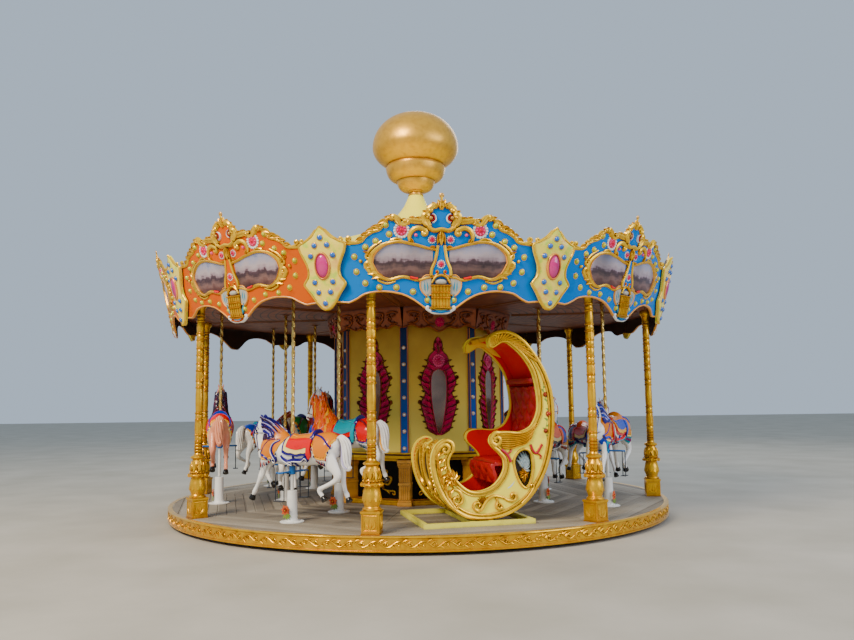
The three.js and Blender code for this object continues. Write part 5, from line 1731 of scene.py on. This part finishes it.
def shell_carving():
    """The bent shell: cream, lined in red, with gilt beads, a carved strip and dark brown ovals of painted
    shadow.
    """
    lay, length = on_bend(moved_right(smooth(HULL, 4)[9:-6], 0.030))
    inner, outer = CHARIOT_INNER + FLANK + 0.0005, CHARIOT_OUTER - FLANK - 0.0005
    middle = (inner + outer) / 2
    runs = np.linspace(0, length, 90)
    past = runs[runs > 0.64]
    shells = [board(part, inner, outer, -SHELL, 0.0, lay, (CREAM, CARVING, back, CARVING))
              for part, back in ((runs[:22], CREAM), (runs[21:], RUBY))]
    for part, low, high in ((runs, inner, inner + 0.075), (runs, outer - 0.075, outer),
                            (past, middle - 0.125, middle + 0.125)):
        shells.append(board(part, low, high, 0.0, 0.006, lay, CARVING))
    for radius in (inner + 0.0375, outer - 0.0375):
        shells += [dome(spot, radius, 0.019, 0.018, lay, CARVING, 8, 1.5)
                   for spot in np.arange(0.03, length - 0.02, 0.046)]
    for offset in (0.082, 0.118):
        for radius in (inner + offset, outer - offset):
            shells.append(ridge([(run, radius) for run in runs], 0.007, 0.012, lay, CARVING))
    for spot in np.arange(0.66, length - 0.2, 0.26):
        for way in (-1, 1):
            stem = [(spot, middle), (spot + 0.07, middle + way * 0.045), (spot + 0.14, middle + way * 0.095)]
            shells += [scroll(stem, way * -1.0, 0.034, 0.030, 0.024, lay, CARVING),
                       leaf((spot + 0.02, middle), (spot + 0.13, middle + way * 0.03), 0.045, 0.022, lay,
                            CARVING, bow=way * 0.2),
                       leaf((spot + 0.15, middle + way * 0.02), (spot + 0.21, middle + way * 0.10), 0.040,
                            0.020, lay, CARVING)]
        shells.append(dome(spot, middle, 0.024, 0.030, lay, CARVING, 10))
    for way in (-1, 1):
        radius = middle + 0.168 * way
        # The dark brown ovals are painted shadow of a recess.
        shells += [dome(0.355, radius, 0.205, 0.012, lay, RECESS_SHADOW, 24, 0.50),
                   ridge(arc(0.355, radius, 0.215, 0.112, steps=33), 0.020, 0.032, lay, CARVING)]
        for spot in 0.08 + 0.048 * np.arange(12):
            out = 0.128 * math.sin(math.acos(max(-1, min(1, (spot - 0.355) / 0.26))))
            shells += [leaf((spot, radius + way * out * 0.95), (spot + 0.055, radius + way * (out + 0.055)),
                            0.044, 0.026, lay, CARVING, bow=0.2),
                       leaf((spot, middle + 0.010 * way), (spot + 0.060, middle + 0.040 * way), 0.040, 0.024,
                            lay, CARVING, bow=-0.2)]
        for spot, turn in ((0.03, 1.0), (0.60, -1.0)):
            stem = [(spot + 0.06 * turn, radius - 0.09), (spot, radius - 0.02), (spot, radius + 0.05)]
            shells.append(scroll(stem, turn, 0.034, 0.044, 0.030, lay, CARVING))
    return shells


# The recess brown is painted shadow for the carved recesses.
flank_finishes = [enamel("chariot_cream_enamel", "#FFEE44", "#E0B024", 0.3, 0.05, 0.2), carving_gold,
                  enamel("chariot_red_enamel", "#E60008", "#A60004", 0.4, 0.0, 0.12),
                  enamel("recess_shadow_brown_enamel", "#2A1A12", "#0E0805", 0.4), silver_blue, leaf_green,
                  leathercloth(), enamel("ribbon_crimson_enamel", "#B00C2A", "#5C0616", 0.36)]
repaint("chariot_frame", enamel("frame_yellow_enamel", "#EEE458", "#AC9C28", 0.38))
for name, face in (("outer", on_flank(CHARIOT_OUTER, 1)), ("inner", on_flank(CHARIOT_INNER, -1))):
    put(f"chariot_crescent_{name}", joined_mesh("chariot_crescent", flank_shells(face), flank_finishes),
        turn=bay_angle(CHARIOT_BAY), replaced=[f"chariot_{name}_side"])
put("chariot_bent_shell", joined_mesh("chariot_bent_shell", shell_carving(), flank_finishes),
    turn=bay_angle(CHARIOT_BAY), replaced=["chariot_shell"])

# The chariot's seat: a plain squab, and an apron and a back that are buttoned in tall diamonds, all
# stuffed and covered in red leathercloth, with a roll at head height.
TUFT_HEIGHT = 0.25
TUFT_WIDTH = 0.118
SEAT_EDGES = (CHARIOT_INNER + FLANK + LINING + 0.002, CHARIOT_OUTER - FLANK - LINING - 0.002)


def stuffing(name, line, rise, columns=34):
    """A stuffed piece between the sides, over a line of (forward, up)."""
    lay, length = on_bend(smooth(mm(line), 6))
    shell = patch(np.linspace(0, length, columns), *SEAT_EDGES, lambda u, share: rise(u / length, share, u),
                  lay, TEXTILE, 57, -0.030)
    piece = put(name, joined_mesh(name, [shell], flank_finishes, 60),
                turn=bay_angle(CHARIOT_BAY), replaced=["chariot_seat"])


def crowned(along, across, run):
    """A plain squab: full in the middle, drawn in at its piped edges."""
    rim = np.minimum(np.minimum(along, 1 - along) / 0.08, np.minimum(across, 1 - across) / 0.05)
    return 0.030 * np.sqrt(np.clip(rim, 0, 1)) + 0.012 * np.sin(math.pi * along) * np.sin(math.pi * across)


def buttoned(along, across, run):
    """Deep buttoning in tall diamonds."""
    width = across * (SEAT_EDGES[1] - SEAT_EDGES[0])
    one, other = run / TUFT_HEIGHT + width / TUFT_WIDTH / 2, run / TUFT_HEIGHT - width / TUFT_WIDTH / 2
    puff = np.abs(np.sin(math.pi * one) * np.sin(math.pi * other)) ** 0.45
    rim = np.minimum(np.minimum(along, 1 - along) / 0.04, np.minimum(across, 1 - across) / 0.03)
    return 0.034 * puff * np.clip(rim, 0, 1)


stuffing("chariot_squab", "-560 655, -400 660, -170 660", crowned)
stuffing("chariot_apron", "-150 655, -140 600, -165 520, -185 430", buttoned)
stuffing("chariot_buttoned_back", "-668 1520, -705 1420, -715 1200, -690 980, -630 800, -585 690", buttoned,
         60)
stuffing("chariot_head_roll", "-655 1612, -650 1590, -660 1560", crowned, 12)
